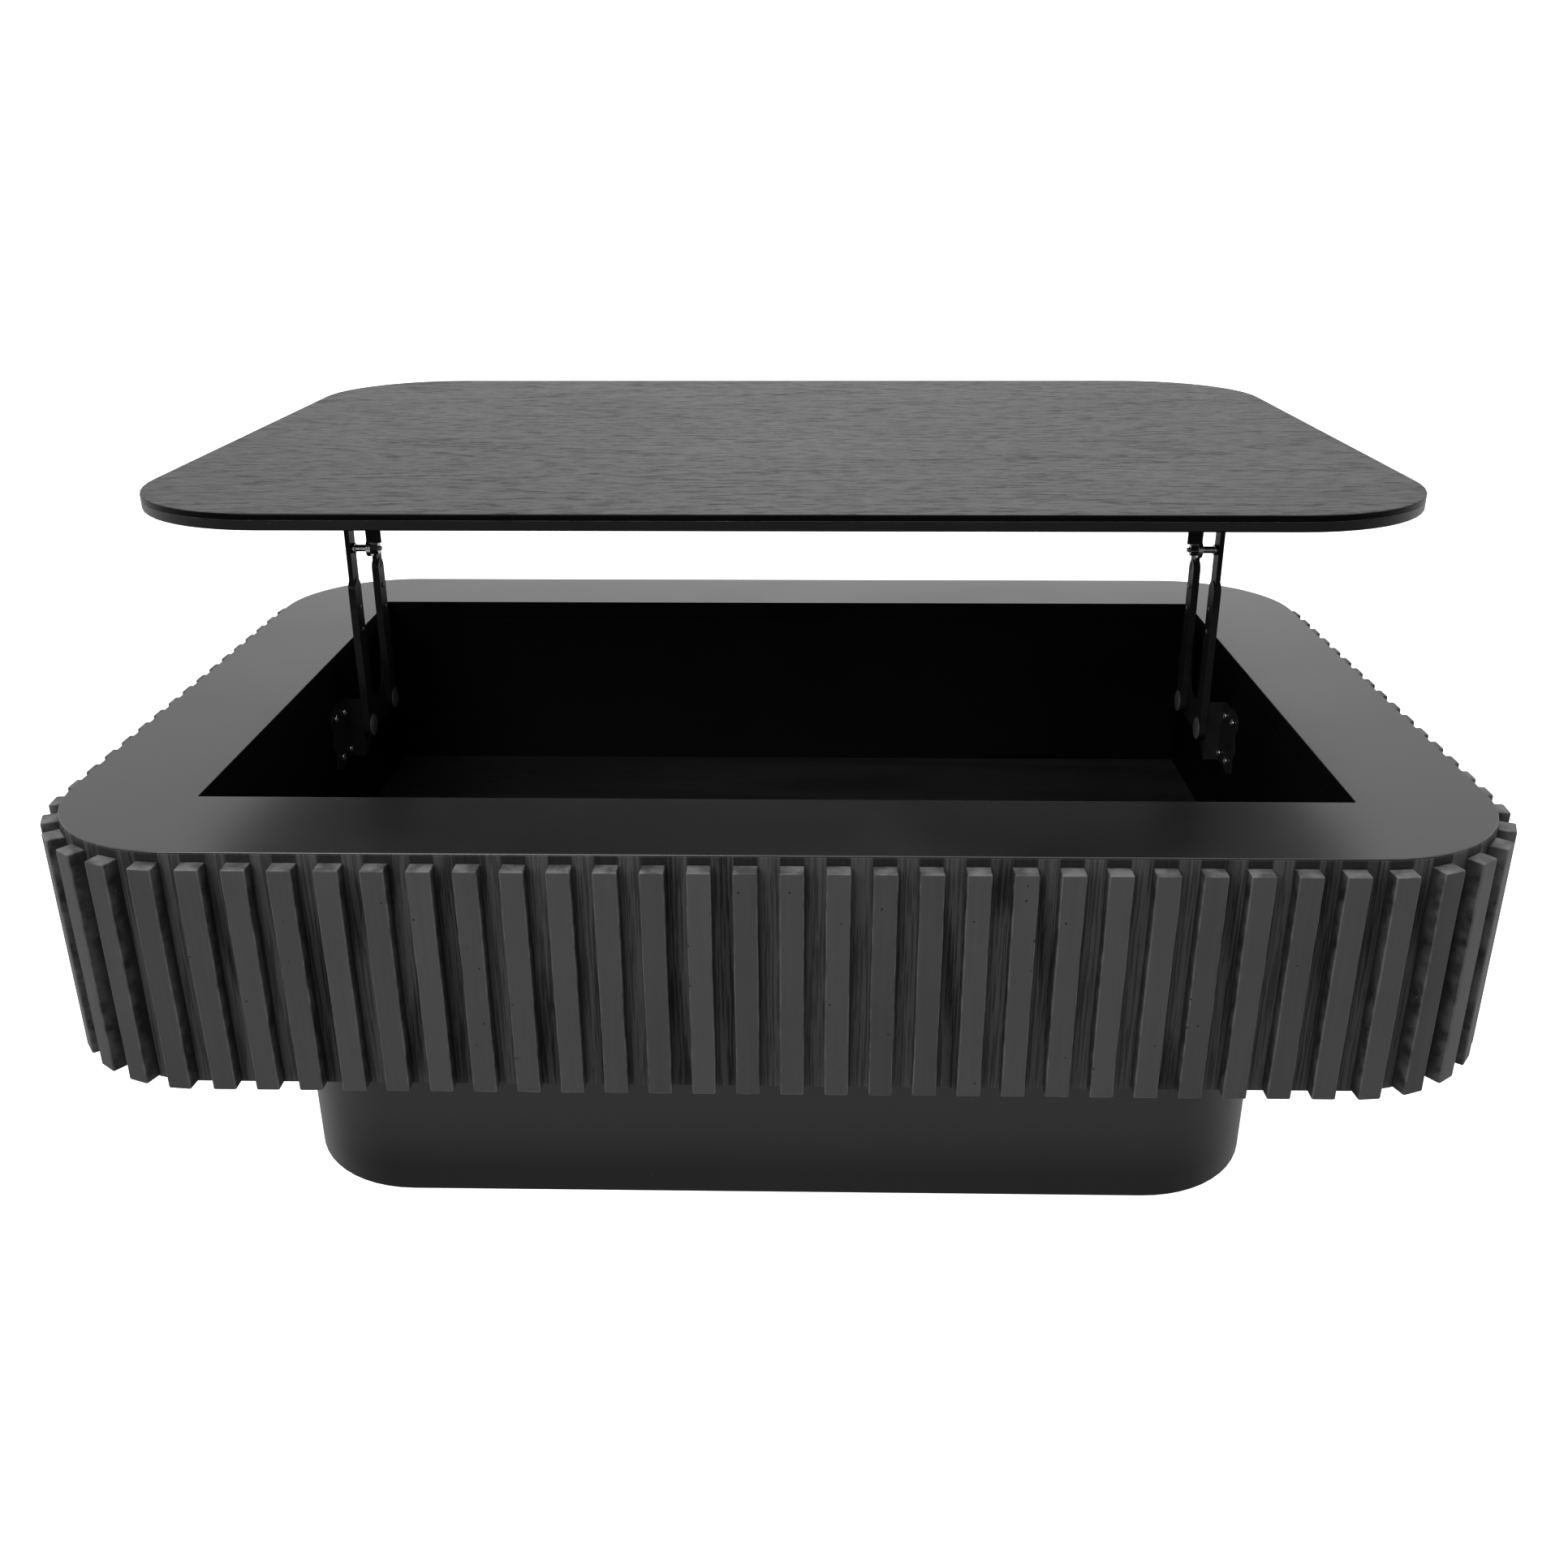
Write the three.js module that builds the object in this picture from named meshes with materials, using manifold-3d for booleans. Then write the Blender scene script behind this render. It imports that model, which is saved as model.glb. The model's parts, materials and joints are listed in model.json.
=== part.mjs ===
// Lift top coffee table: a slatted drum with a storage well, standing on a smaller
// rounded plinth, with a top that rises on two parallelogram lifting mechanisms.
//
// Millimetres, +Z up. The origin is on the floor under the middle of the drum.
// +X runs along the table's length, -Y is the front, where the well is open when the
// top is raised. The model rests with the top raised, as the mechanism locks it.

import * as THREE from 'three';
import { mergeVertices } from 'three/addons/utils/BufferGeometryUtils.js';
import Module from 'manifold-3d';

const wasm = await Module();
wasm.setup();

// ---------------------------------------------------------------- driving dimensions

const GAP = 0.3;                 // space kept between pieces that touch
const OVERRUN = 1;               // how far cutting shapes run past what they cut

const DRUM = { width: 1172, depth: 790, radius: 127 };   // panel faces, without the slats
const DECK = { top: 418, thickness: 18 };
const OPENING = { width: 945, depth: 578.5 };
const PANEL = { bottom: 212.3, thickness: 15 };
const SLAT = {
  count: 106, width: 18.7, proud: 14, bottom: 213.6, top: 409.9, tenon: 1, shoulder: 1,
};
const FRONT_SLATS = 26;          // slats on each long flat side
const WALL = { thickness: 12 };
const FLOOR_TOP = 221;
const POST = { side: 40, x: 510, y: 322 };

const PLINTH = { width: 916, depth: 534, radius: 116, wall: 15, bottom: 4, top: 212 };
const PLINTH_TOP_BOARD = 15.7;
const PLINTH_BOTTOM_BOARD = 12;
const GLIDE = { radius: 14, x: 255, y: 240 };

const TOP = { width: 1184, depth: 826, radius: 147, thickness: 15, edge: 1.5 };

// Lifting mechanism. u is the distance from the well's side wall towards the middle.
const ARM = { length: 255, sheet: 1.6 };
const LOWER_CHANNEL = { length: 151, radius: 10.5, outer: 18.5, inner: 26 };
const UPPER_CHANNEL = { length: ARM.length, radius: 9.2, outer: 20, inner: 25 };
const ARM_SLOT = { along: 152, radius: 1.6, length: 6 };
const LEAN = 2;                  // degrees past upright when raised, which locks the top
const PIVOT = { front: 100, rear: 188, z: 334 };
const EAR = { outer: 15.5, inner: 18 };
const SHEET = EAR.inner - EAR.outer;
const RIVET = {
  shank: 4, hole: 4.3, headHeight: 2.5, rim: 0.4, crown: 2, tail: 5.5, tailHeight: 1.7,
};
const LOWER_HEAD = 12;
const UPPER_HEAD = 8;
const RAIL = { reach: 39, drop: 13, width: 40, aboveAxis: 18.7, corner: 11 };
const RAIL_SCREW = { fromEnd: 14, fromEdge: 6, pilot: 8 };
const STUD = {
  along: 194, shank: 3, hole: 3.3, collar: 5.5, sleeve: 3.6, thread: 2.5,
  headHeight: 3.2, collarHeight: 3, pastNut: 3,
};
const NUT = { from: 40.5, flange: 45, to: 52.5, flangeRadius: 8.5, acrossCorners: 13, hole: 2.8 };
const LUG = { half: 6, low: 7, high: 22, sheet: 2, reach: 57, rivet: 2 };
const SCREW = {
  head: 4.4, headHeight: 2.4, crown: 1.3, shank: 1.9, point: 2.5, hole: 2.2, length: 10,
};
const PLATE = { front: 36, step: 91.5, rear: 208, low: 296, high: 388 };
const STOP_TAB = { low: 371, high: 385 };
const PLATE_SCREWS = [[79, 356], [51, 358.5], [86, 311.4], [59.5, 312.5]];   // y, z
const PLATE_EDGE = [             // points the plate's wavy edge passes through, as y, z
  [43, 305], [60, 300], [74, 305], [92, 301], [106, 311], [120, 317], [150, 318],
  [172, 317], [190, 319], [203, 331], [201, 350], [204, 372], [202, 386], [186, 385],
  [182, 360], [168, 349], [146, 351], [120, 350], [104, 357], [90, 368], [76, 366],
  [64, 370], [46, 368], [39, 357], [45, 344], [40, 330], [46, 317],
];

const CORNER_STEPS = 16;         // straight pieces in each quarter round
const HOLE_STEPS = 12;           // straight pieces round a hole, a rivet or a screw
const FLANGE_STEPS = 24;
const CORNERS = [
  ['front_left', -1, -1], ['front_right', 1, -1], ['back_left', -1, 1], ['back_right', 1, 1],
];
const SIDES = [['left', -1], ['right', 1]];

// ------------------------------------------------------------------ derived dimensions

const deckBottom = DECK.top - DECK.thickness;
const wellHalf = OPENING.width / 2;
const lean = THREE.MathUtils.degToRad(LEAN);
const armShiftY = ARM.length * Math.sin(lean);
const armRise = ARM.length * Math.cos(lean);
const upperAxisZ = PIVOT.z + armRise;
const topUnderside = upperAxisZ + RAIL.aboveAxis + GAP;
const TOP_RAISED_Y = 255.2;      // the raised top stands this far behind the drum's middle

// --------------------------------------------------------------------------- materials

const FINISHES = {
  veneer: { color: 0x3d3c3b, roughness: 0.5, metalness: 0 },
  paint: { color: 0x2e2e2e, roughness: 0.45, metalness: 0 },
  slat: { color: 0x303030, roughness: 0.55, metalness: 0 },
  inside: { color: 0x101010, roughness: 0.6, metalness: 0 },
  hidden: { color: 0x6b5a45, roughness: 0.8, metalness: 0 },
  steel: { color: 0x0c0c0d, roughness: 0.35, metalness: 0.6 },
  zinc: { color: 0xb8bac0, roughness: 0.25, metalness: 1 },
  pad: { color: 0x1a1a1a, roughness: 0.7, metalness: 0 },
};

const table = new THREE.Group();

/** Adds one named piece with its own material, in the finish named. */
function addPiece(name, geometry, finish) {
  const material = new THREE.MeshStandardMaterial(FINISHES[finish]);
  const piece = new THREE.Mesh(geometry, material);
  piece.name = name;
  table.add(piece);
}

// ------------------------------------------------------------------------ solid helpers

/** Plane points from pairs of numbers. */
function points(pairs) {
  return pairs.map(([a, b]) => new THREE.Vector2(a, b));
}

/** Points along an arc, ends included; angles in degrees. */
function arc(x, y, radius, from, to, steps = CORNER_STEPS) {
  return Array.from({ length: steps + 1 }, (_, i) => {
    const angle = THREE.MathUtils.degToRad(from + (to - from) * i / steps);
    return new THREE.Vector2(x + radius * Math.cos(angle), y + radius * Math.sin(angle));
  });
}

/** A regular polygon round the origin. */
function polygon(radius, sides) {
  return arc(0, 0, radius, 0, 360 - 360 / sides, sides - 1);
}

/** The outline of a rectangle with rounded corners, centred on the origin. */
function roundedRectangle(width, depth, radius) {
  const x = width / 2 - radius;
  const y = depth / 2 - radius;
  return [
    ...arc(x, -y, radius, -90, 0),
    ...arc(x, y, radius, 0, 90),
    ...arc(-x, y, radius, 90, 180),
    ...arc(-x, -y, radius, 180, 270),
  ];
}

/** A prism that stands on an outline, from z = low to z = high, less any holes. */
function prism(outline, low, high, holes = []) {
  const shape = new THREE.Shape(outline);
  shape.holes = holes.map((hole) => new THREE.Path(hole));
  const options = { depth: high - low, bevelEnabled: false };
  return new THREE.ExtrudeGeometry(shape, options).translate(0, 0, low);
}

/** A box between two corners. */
function boxBetween(low, high) {
  const size = high.map((value, i) => value - low[i]);
  const middle = high.map((value, i) => (value + low[i]) / 2);
  return new THREE.BoxGeometry(...size).translate(...middle);
}

/** A round piece along +Z from a profile of [radius, height] pairs. */
function turned(profile) {
  return new THREE.LatheGeometry(points(profile), HOLE_STEPS).rotateX(Math.PI / 2);
}

/** A plain round bar along +Z. */
function bar(radius, low, high) {
  return turned([[0, low], [radius, low], [radius, high], [0, high]]);
}

/** Lays a piece modelled along +Z with outline (x, y) so that +Z runs along +X, x along
 *  +Y and y along +Z: outlines drawn in the side view become pieces as thick as u. */
function layAlongX(geometry) {
  const turn = new THREE.Matrix4().set(0, 0, 1, 0, 1, 0, 0, 0, 0, 1, 0, 0, 0, 0, 0, 1);
  return geometry.applyMatrix4(turn);
}

/** The closed solid of a geometry, ready to be cut or joined. */
function solid(geometry) {
  const bare = geometry.clone();
  bare.deleteAttribute('normal');
  bare.deleteAttribute('uv');
  const merged = mergeVertices(bare, 1e-4);
  return new wasm.Manifold(new wasm.Mesh({
    numProp: 3,
    vertProperties: new Float32Array(merged.attributes.position.array),
    triVerts: new Uint32Array(merged.index.array),
  }));
}

/** A geometry from a finished solid. */
function geometryOf(manifold) {
  const mesh = manifold.getMesh();
  const geometry = new THREE.BufferGeometry();
  geometry.setAttribute('position', new THREE.BufferAttribute(mesh.vertProperties, 3));
  geometry.setIndex(new THREE.BufferAttribute(mesh.triVerts, 1));
  geometry.computeVertexNormals();
  return geometry;
}

/** Joins and cuts geometries: first the body and what is added, then what is cut away. */
function shaped(body, added, cut) {
  let result = solid(body);
  for (const geometry of added) result = result.add(solid(geometry));
  for (const geometry of cut) result = result.subtract(solid(geometry));
  return geometryOf(result);
}

// -------------------------------------------------------------------------------- drum

/** Where the outline of the drum is, a distance along it from the middle of the front.
 *  Gives the point, the outward direction as an angle, and which stretch it is on. */
function alongDrum(distance) {
  const flatX = DRUM.width / 2 - DRUM.radius;
  const flatY = DRUM.depth / 2 - DRUM.radius;
  const round = DRUM.radius * Math.PI / 2;
  const total = 4 * (flatX + flatY + round);
  const s = ((distance % total) + total) % total;
  const stretches = [
    { name: 'front', length: flatX, x: 0, y: -flatY, out: -90 },
    { name: 'front_right', length: round, x: flatX, y: -flatY, out: -90 },
    { name: 'right', length: 2 * flatY, x: flatX, y: -flatY, out: 0 },
    { name: 'back_right', length: round, x: flatX, y: flatY, out: 0 },
    { name: 'back', length: 2 * flatX, x: flatX, y: flatY, out: 90 },
    { name: 'back_left', length: round, x: -flatX, y: flatY, out: 90 },
    { name: 'left', length: 2 * flatY, x: -flatX, y: flatY, out: 180 },
    { name: 'front_left', length: round, x: -flatX, y: -flatY, out: 180 },
    { name: 'front', length: flatX, x: -flatX, y: -flatY, out: 270 },
  ];
  let start = 0;
  const here = stretches.find((stretch) => {
    start += stretch.length;
    return s < start;
  });
  const travelled = s - (start - here.length);
  const isRound = here.name.includes('_');
  const degrees = here.out + (isRound ? 90 * travelled / here.length : 0);
  const angle = THREE.MathUtils.degToRad(degrees);
  const slide = isRound ? 0 : travelled;
  return {
    name: here.name,
    angle,
    x: here.x + DRUM.radius * Math.cos(angle) - slide * Math.sin(angle),
    y: here.y + DRUM.radius * Math.sin(angle) + slide * Math.cos(angle),
  };
}

/** One slat, with a shallow tenon let into the panel behind it. The part that rises
 *  above the panel has none, so it clears the edge of the deck. */
function slatAt({ x, y, angle }) {
  const side = [
    [-SLAT.tenon, SLAT.bottom], [SLAT.proud, SLAT.bottom], [SLAT.proud, SLAT.top],
    [0, SLAT.top], [0, deckBottom - SLAT.shoulder], [-SLAT.tenon, deckBottom - SLAT.shoulder],
  ];
  return prism(points(side), -SLAT.width / 2, SLAT.width / 2)
    .rotateX(Math.PI / 2)
    .rotateZ(angle)
    .translate(x, y, 0);
}

/** The outline of each of the eight panels that make the drum's side. */
function panelOutlines() {
  const x = DRUM.width / 2;
  const y = DRUM.depth / 2;
  const flatX = x - DRUM.radius;
  const flatY = y - DRUM.radius;
  const perimeter = 4 * (flatX + flatY) + 2 * Math.PI * DRUM.radius;
  const seamX = FRONT_SLATS / 2 * perimeter / SLAT.count;
  const inner = PANEL.thickness;
  const half = GAP / 2;
  const outlines = {};
  for (const [name, side] of [['front', -1], ['back', 1]]) {
    const end = seamX - half;
    outlines[name] = points([
      [-end, side * y], [end, side * y], [end, side * (y - inner)], [-end, side * (y - inner)],
    ]);
  }
  for (const [name, side] of SIDES) {
    const end = flatY - half;
    outlines[name] = points([
      [side * x, -end], [side * x, end], [side * (x - inner), end], [side * (x - inner), -end],
    ]);
  }
  for (const [name, sx, sy] of CORNERS) {
    const quarter = [
      ...points([[seamX + half, y]]),
      ...arc(flatX, flatY, DRUM.radius, 90, 0),
      ...points([[x, flatY + half], [x - inner, flatY + half]]),
      ...arc(flatX, flatY, DRUM.radius - inner, 0, 90),
      ...points([[seamX + half, y - inner]]),
    ].filter((p) => p.y >= flatY + half - 1e-6);
    outlines[name] = points(quarter.map((p) => [sx * p.x, sy * p.y]));
  }
  return { outlines, pitch: perimeter / SLAT.count };
}

function buildDrum() {
  const shrink = 2 * GAP;
  const deckOutline = roundedRectangle(
    DRUM.width - shrink, DRUM.depth - shrink, DRUM.radius - GAP);
  const ox = wellHalf;
  const oy = OPENING.depth / 2;
  const opening = points([[-ox, -oy], [ox, -oy], [ox, oy], [-ox, oy]]);
  addPiece('deck_frame', prism(deckOutline, deckBottom, DECK.top, [opening]), 'paint');

  const { outlines, pitch } = panelOutlines();
  const slats = Object.fromEntries(Object.keys(outlines).map((name) => [name, []]));
  for (let i = 0; i < SLAT.count; i += 1) {
    const spot = alongDrum((i + 0.5) * pitch);
    slats[spot.name].push(slatAt(spot));
  }
  for (const [name, outline] of Object.entries(outlines)) {
    const panel = prism(outline, PANEL.bottom, deckBottom - GAP);
    addPiece(`slat_panel_${name}`, shaped(panel, slats[name], []), 'slat');
  }

  const inset = 2 * (PANEL.thickness + GAP);
  const floorOutline = roundedRectangle(
    DRUM.width - inset, DRUM.depth - inset, DRUM.radius - inset / 2);
  addPiece('well_floor', prism(floorOutline, PANEL.bottom, FLOOR_TOP), 'inside');

  const low = FLOOR_TOP + GAP;
  const high = deckBottom - GAP;
  const out = WALL.thickness;
  const frontWall = boxBetween([-ox - out, -oy - out, low], [ox + out, -oy, high]);
  const backWall = boxBetween([-ox - out, oy, low], [ox + out, oy + out, high]);
  addPiece('well_wall_front', frontWall, 'inside');
  addPiece('well_wall_back', backWall, 'inside');
  for (const [name, side] of SIDES) {
    const end = oy - GAP;
    const inner = side * ox;
    const outer = side * (ox + out);
    const wall = boxBetween(
      [Math.min(inner, outer), -end, low], [Math.max(inner, outer), end, high]);
    const pilots = PLATE_SCREWS.map(([y, z]) => (
      acrossSide(bar(SCREW.hole, -SCREW.length, OVERRUN), y, z, side)));
    addPiece(`well_wall_${name}`, shaped(wall, [], pilots), 'inside');
  }
  for (const [name, sx, sy] of CORNERS) {
    const half = POST.side / 2;
    const post = boxBetween([-half, -half, low], [half, half, high]);
    addPiece(`deck_post_${name}`, post.translate(sx * POST.x, sy * POST.y, 0), 'hidden');
  }
}

// ------------------------------------------------------------------------------ plinth

function buildPlinth() {
  const outer = roundedRectangle(PLINTH.width, PLINTH.depth, PLINTH.radius);
  const ring = (inset) => roundedRectangle(
    PLINTH.width - 2 * inset, PLINTH.depth - 2 * inset, PLINTH.radius - inset);
  const shell = prism(outer, PLINTH.bottom, PLINTH.top, [ring(PLINTH.wall)]);
  addPiece('plinth_shell', shell, 'paint');

  const board = ring(PLINTH.wall + GAP);
  const topBoard = prism(board, PLINTH.top - PLINTH_TOP_BOARD, PLINTH.top);
  addPiece('plinth_top_board', topBoard, 'hidden');
  const bottomBoard = prism(board, PLINTH.bottom, PLINTH.bottom + PLINTH_BOTTOM_BOARD);
  addPiece('plinth_bottom_board', bottomBoard, 'hidden');

  for (const [name, sx, sy] of [['centre', 0, 0], ...CORNERS]) {
    const glide = bar(GLIDE.radius, 0, PLINTH.bottom - GAP);
    addPiece(`glide_${name}`, glide.translate(sx * GLIDE.x, sy * GLIDE.y, 0), 'pad');
  }
}

// --------------------------------------------------------------------------- mechanism

/** Mirrors a geometry in the middle plane and keeps its faces pointing outwards. */
function mirrored(geometry) {
  const flat = geometry.index ? geometry.toNonIndexed() : geometry.clone();
  flat.scale(-1, 1, 1);
  const position = flat.attributes.position;
  const swap = new THREE.Vector3();
  const other = new THREE.Vector3();
  for (let i = 0; i < position.count; i += 3) {
    swap.fromBufferAttribute(position, i + 1);
    other.fromBufferAttribute(position, i + 2);
    position.setXYZ(i + 1, ...other);
    position.setXYZ(i + 2, ...swap);
  }
  return flat;
}

/** Moves a piece modelled in u, y, z to the left (side -1) or right (side 1) wall. */
function onSide(geometry, side) {
  const left = geometry.translate(-wellHalf, 0, 0);
  return side < 0 ? left : mirrored(left);
}

/** A round piece modelled along +Z, laid along u on the axis through y, z. */
function acrossSide(geometry, y, z, side) {
  return onSide(layAlongX(geometry).translate(0, y, z), side);
}

/** The flat outline of an arm or a slot: two half rounds and the sides between them. */
function stadium(length, radius) {
  return [
    ...arc(0, 0, radius, 180, 360, HOLE_STEPS),
    ...arc(0, length, radius, 0, 180, HOLE_STEPS),
  ];
}

/** A tray pressed from sheet, open towards the wall, drawn round a slot outline. */
function channel({ length, radius, outer, inner }) {
  const outside = layAlongX(prism(stadium(length, radius), outer, inner));
  const hollow = layAlongX(prism(
    stadium(length, radius - ARM.sheet), outer - OVERRUN, inner - ARM.sheet));
  return shaped(outside, [], [hollow]);
}

/** A slot or, with no length, a hole through an arm's web at a distance along it. */
function webCut(along, radius, length = 0) {
  const from = EAR.inner;
  const to = LOWER_CHANNEL.inner + OVERRUN;
  const cut = length > 0 ? prism(stadium(length, radius), from, to) : bar(radius, from, to);
  return layAlongX(cut).translate(0, 0, along);
}

/** One arm: an upper channel let into a wider lower one, with a hole at each end. The
 *  front arm has a hole for the cross stud, the rear one a short slot. It leans back. */
function arm(name, pivotY) {
  const cuts = [webCut(0, RIVET.hole), webCut(ARM.length, RIVET.hole)];
  if (name === 'front') cuts.push(webCut(STUD.along, STUD.hole));
  else cuts.push(webCut(ARM_SLOT.along, ARM_SLOT.radius, ARM_SLOT.length));
  return shaped(channel(UPPER_CHANNEL), [channel(LOWER_CHANNEL)], cuts)
    .rotateX(-lean)
    .translate(0, pivotY, PIVOT.z);
}

/** A headed rivet through an arm's web and the ear or rail behind it. Its head is a low
 *  dome in three steps and its tail is flattened. */
function rivet(webFace, head) {
  const face = webFace + GAP;
  const back = EAR.outer - GAP;
  const tip = back - RIVET.tailHeight;
  return turned([
    [0, tip], [RIVET.tail - 1, tip], [RIVET.tail, (tip + back) / 2], [RIVET.tail, back],
    [RIVET.shank, back], [RIVET.shank, face], [head, face],
    [head - RIVET.rim, face + RIVET.headHeight * 0.4],
    [head - RIVET.crown, face + RIVET.headHeight * 0.8],
    [0, face + RIVET.headHeight],
  ]);
}

/** A pan head wood screw along +Z: its head stands above z = 0, its shank goes down. */
function woodScrew() {
  return turned([
    [0, -SCREW.length], [SCREW.shank, SCREW.point - SCREW.length], [SCREW.shank, 0],
    [SCREW.head, 0], [SCREW.head, SCREW.headHeight * 0.5],
    [SCREW.head - SCREW.crown, SCREW.headHeight], [0, SCREW.headHeight],
  ]);
}

/** What is cut out of a plate's ear or a rail's web for a pivot's rivet. */
function pivotHole(y, z) {
  const hole = bar(RIVET.hole, EAR.outer - OVERRUN, EAR.inner + OVERRUN);
  return layAlongX(hole).translate(0, y, z);
}

/** The mounting plate: one pressing whose foot lies on the wall and whose ear steps
 *  inwards to carry both lower pivots. A tab at the back stops the raised rear arm. */
function mountingPlate() {
  const { front, step, rear } = PLATE;
  const foot = GAP + SHEET;
  const section = points([
    [GAP, front], [foot, front], [foot, step], [EAR.inner, step], [EAR.inner, rear],
    [EAR.outer, rear], [EAR.outer, step + SHEET], [GAP, step + SHEET],
  ]);
  const pressing = prism(section, PLATE.low, PLATE.high);
  const edge = PLATE_EDGE.map(([y, z]) => new THREE.Vector3(y, z, 0));
  const wavy = new THREE.CatmullRomCurve3(edge, true, 'centripetal')
    .getPoints(2 * edge.length)
    .slice(0, -1)
    .map((p) => new THREE.Vector2(p.x, p.y));
  const blank = layAlongX(prism(wavy, -OVERRUN, EAR.inner + OVERRUN));
  const pivots = [PIVOT.front, PIVOT.rear].map((y) => pivotHole(y, PIVOT.z));
  const screwHoles = PLATE_SCREWS.map(([y, z]) => (
    layAlongX(bar(SCREW.hole, 0, foot + OVERRUN)).translate(0, y, z)));
  const stopY = PIVOT.rear + (STOP_TAB.high - PIVOT.z) * Math.tan(lean)
    + LOWER_CHANNEL.radius / Math.cos(lean) + GAP;
  const stop = boxBetween(
    [EAR.outer, stopY, STOP_TAB.low], [LOWER_CHANNEL.inner, stopY + SHEET, STOP_TAB.high]);
  let plate = solid(pressing).intersect(solid(blank)).add(solid(stop));
  for (const hole of [...pivots, ...screwHoles]) plate = plate.subtract(solid(hole));
  return geometryOf(plate);
}

/** The rail under the top: an angle whose flange is screwed to the top and whose web
 *  carries both upper pivots. */
function topRail(pivots, screws) {
  const start = pivots[0] - RAIL.reach;
  const end = pivots[1] + RAIL.reach;
  const high = upperAxisZ + RAIL.aboveAxis;
  const low = upperAxisZ - RAIL.drop;
  const section = points([
    [EAR.outer, low], [EAR.inner, low], [EAR.inner, high - SHEET], [RAIL.width, high - SHEET],
    [RAIL.width, high], [EAR.outer, high],
  ]);
  const angle = prism(section, 0, end - start).rotateX(Math.PI / 2).translate(0, end, 0);
  const cuts = pivots.map((y) => pivotHole(y, upperAxisZ));
  for (const [u, y] of screws) {
    const hole = bar(SCREW.hole, high - SHEET - OVERRUN, high + OVERRUN);
    cuts.push(hole.translate(u, y, 0));
  }
  for (const [y, inwards] of [[start, 1], [end, -1]]) {
    const past = y - inwards * OVERRUN;
    const bottom = low - OVERRUN / 2;
    const corner = points([
      [past, bottom], [y + inwards * RAIL.corner, bottom],
      [y, bottom + RAIL.corner], [past, bottom + RAIL.corner],
    ]);
    cuts.push(layAlongX(prism(corner, EAR.outer - OVERRUN, EAR.inner + OVERRUN)));
  }
  return shaped(angle, [], cuts);
}

/** The cross stud on the front arm: a head inside the channel, a collar against its
 *  face, a sleeve and a threaded end. */
function crossStud() {
  const headTop = UPPER_CHANNEL.inner - ARM.sheet - GAP;
  const headBottom = headTop - STUD.headHeight;
  const face = UPPER_CHANNEL.inner + GAP;
  const shoulder = face + STUD.collarHeight;
  const sleeveEnd = NUT.from - GAP;
  const tip = NUT.to + STUD.pastNut;
  return turned([
    [0, headBottom], [STUD.collar - 1, headBottom], [STUD.collar - 1, headTop],
    [STUD.shank, headTop], [STUD.shank, face], [STUD.collar, face],
    [STUD.collar, shoulder], [STUD.sleeve, shoulder], [STUD.sleeve, sleeveEnd],
    [STUD.thread, sleeveEnd], [STUD.thread, tip], [0, tip],
  ]);
}

/** The flanged nut: a round flange against the sleeve, a hexagon beyond it and, welded to
 *  the flange, an angle lug with a rivet in its front. */
function luggedNut() {
  const hole = polygon(NUT.hole, HOLE_STEPS);
  const flange = polygon(NUT.flangeRadius, FLANGE_STEPS);
  const hexagon = polygon(NUT.acrossCorners / 2, 6);
  const disc = prism(flange, NUT.from, NUT.flange, [hole]);
  const { half, low, high, sheet, reach } = LUG;
  const web = boxBetween([-half, low - sheet, NUT.from + 1], [half, high, NUT.from + 1 + sheet]);
  const front = boxBetween([-half, low, NUT.from + 1], [sheet - half, high, reach]);
  const head = layAlongX(bar(LUG.rivet, -half - 1, sheet - half - 1))
    .translate(0, (low + high) / 2, reach - 2 * LUG.rivet);
  return shaped(disc, [prism(hexagon, NUT.flange - 1, NUT.to, [hole]), web, front, head], []);
}

function buildMechanism(sideName, side) {
  const pivots = { front: PIVOT.front, rear: PIVOT.rear };
  addPiece(`${sideName}_mounting_plate`, onSide(mountingPlate(), side), 'steel');
  PLATE_SCREWS.forEach(([y, z], i) => {
    const screw = woodScrew().translate(0, 0, GAP + SHEET + GAP);
    addPiece(`${sideName}_plate_screw_${i + 1}`, acrossSide(screw, y, z, side), 'zinc');
  });

  for (const [name, y] of Object.entries(pivots)) {
    const lowerRivet = rivet(LOWER_CHANNEL.inner, LOWER_HEAD);
    const upperRivet = rivet(UPPER_CHANNEL.inner, UPPER_HEAD);
    addPiece(`${sideName}_${name}_arm`, onSide(arm(name, y), side), 'steel');
    addPiece(`${sideName}_${name}_lower_rivet`, acrossSide(lowerRivet, y, PIVOT.z, side), 'steel');
    addPiece(
      `${sideName}_${name}_upper_rivet`,
      acrossSide(upperRivet, y + armShiftY, upperAxisZ, side), 'steel');
  }

  const studY = pivots.front + STUD.along * Math.sin(lean);
  const studZ = PIVOT.z + STUD.along * Math.cos(lean);
  addPiece(`${sideName}_cross_stud`, acrossSide(crossStud(), studY, studZ, side), 'zinc');
  addPiece(`${sideName}_stud_nut`, acrossSide(luggedNut(), studY, studZ, side), 'steel');

  const upper = [pivots.front + armShiftY, pivots.rear + armShiftY];
  const screws = railScrewSpots();
  addPiece(`${sideName}_top_rail`, onSide(topRail(upper, screws), side), 'steel');
  screws.forEach(([u, y], i) => {
    const z = upperAxisZ + RAIL.aboveAxis - SHEET - GAP;
    const screw = woodScrew().rotateX(Math.PI).translate(u, y, z);
    addPiece(`${sideName}_rail_screw_${i + 1}`, onSide(screw, side), 'zinc');
  });
}

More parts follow.
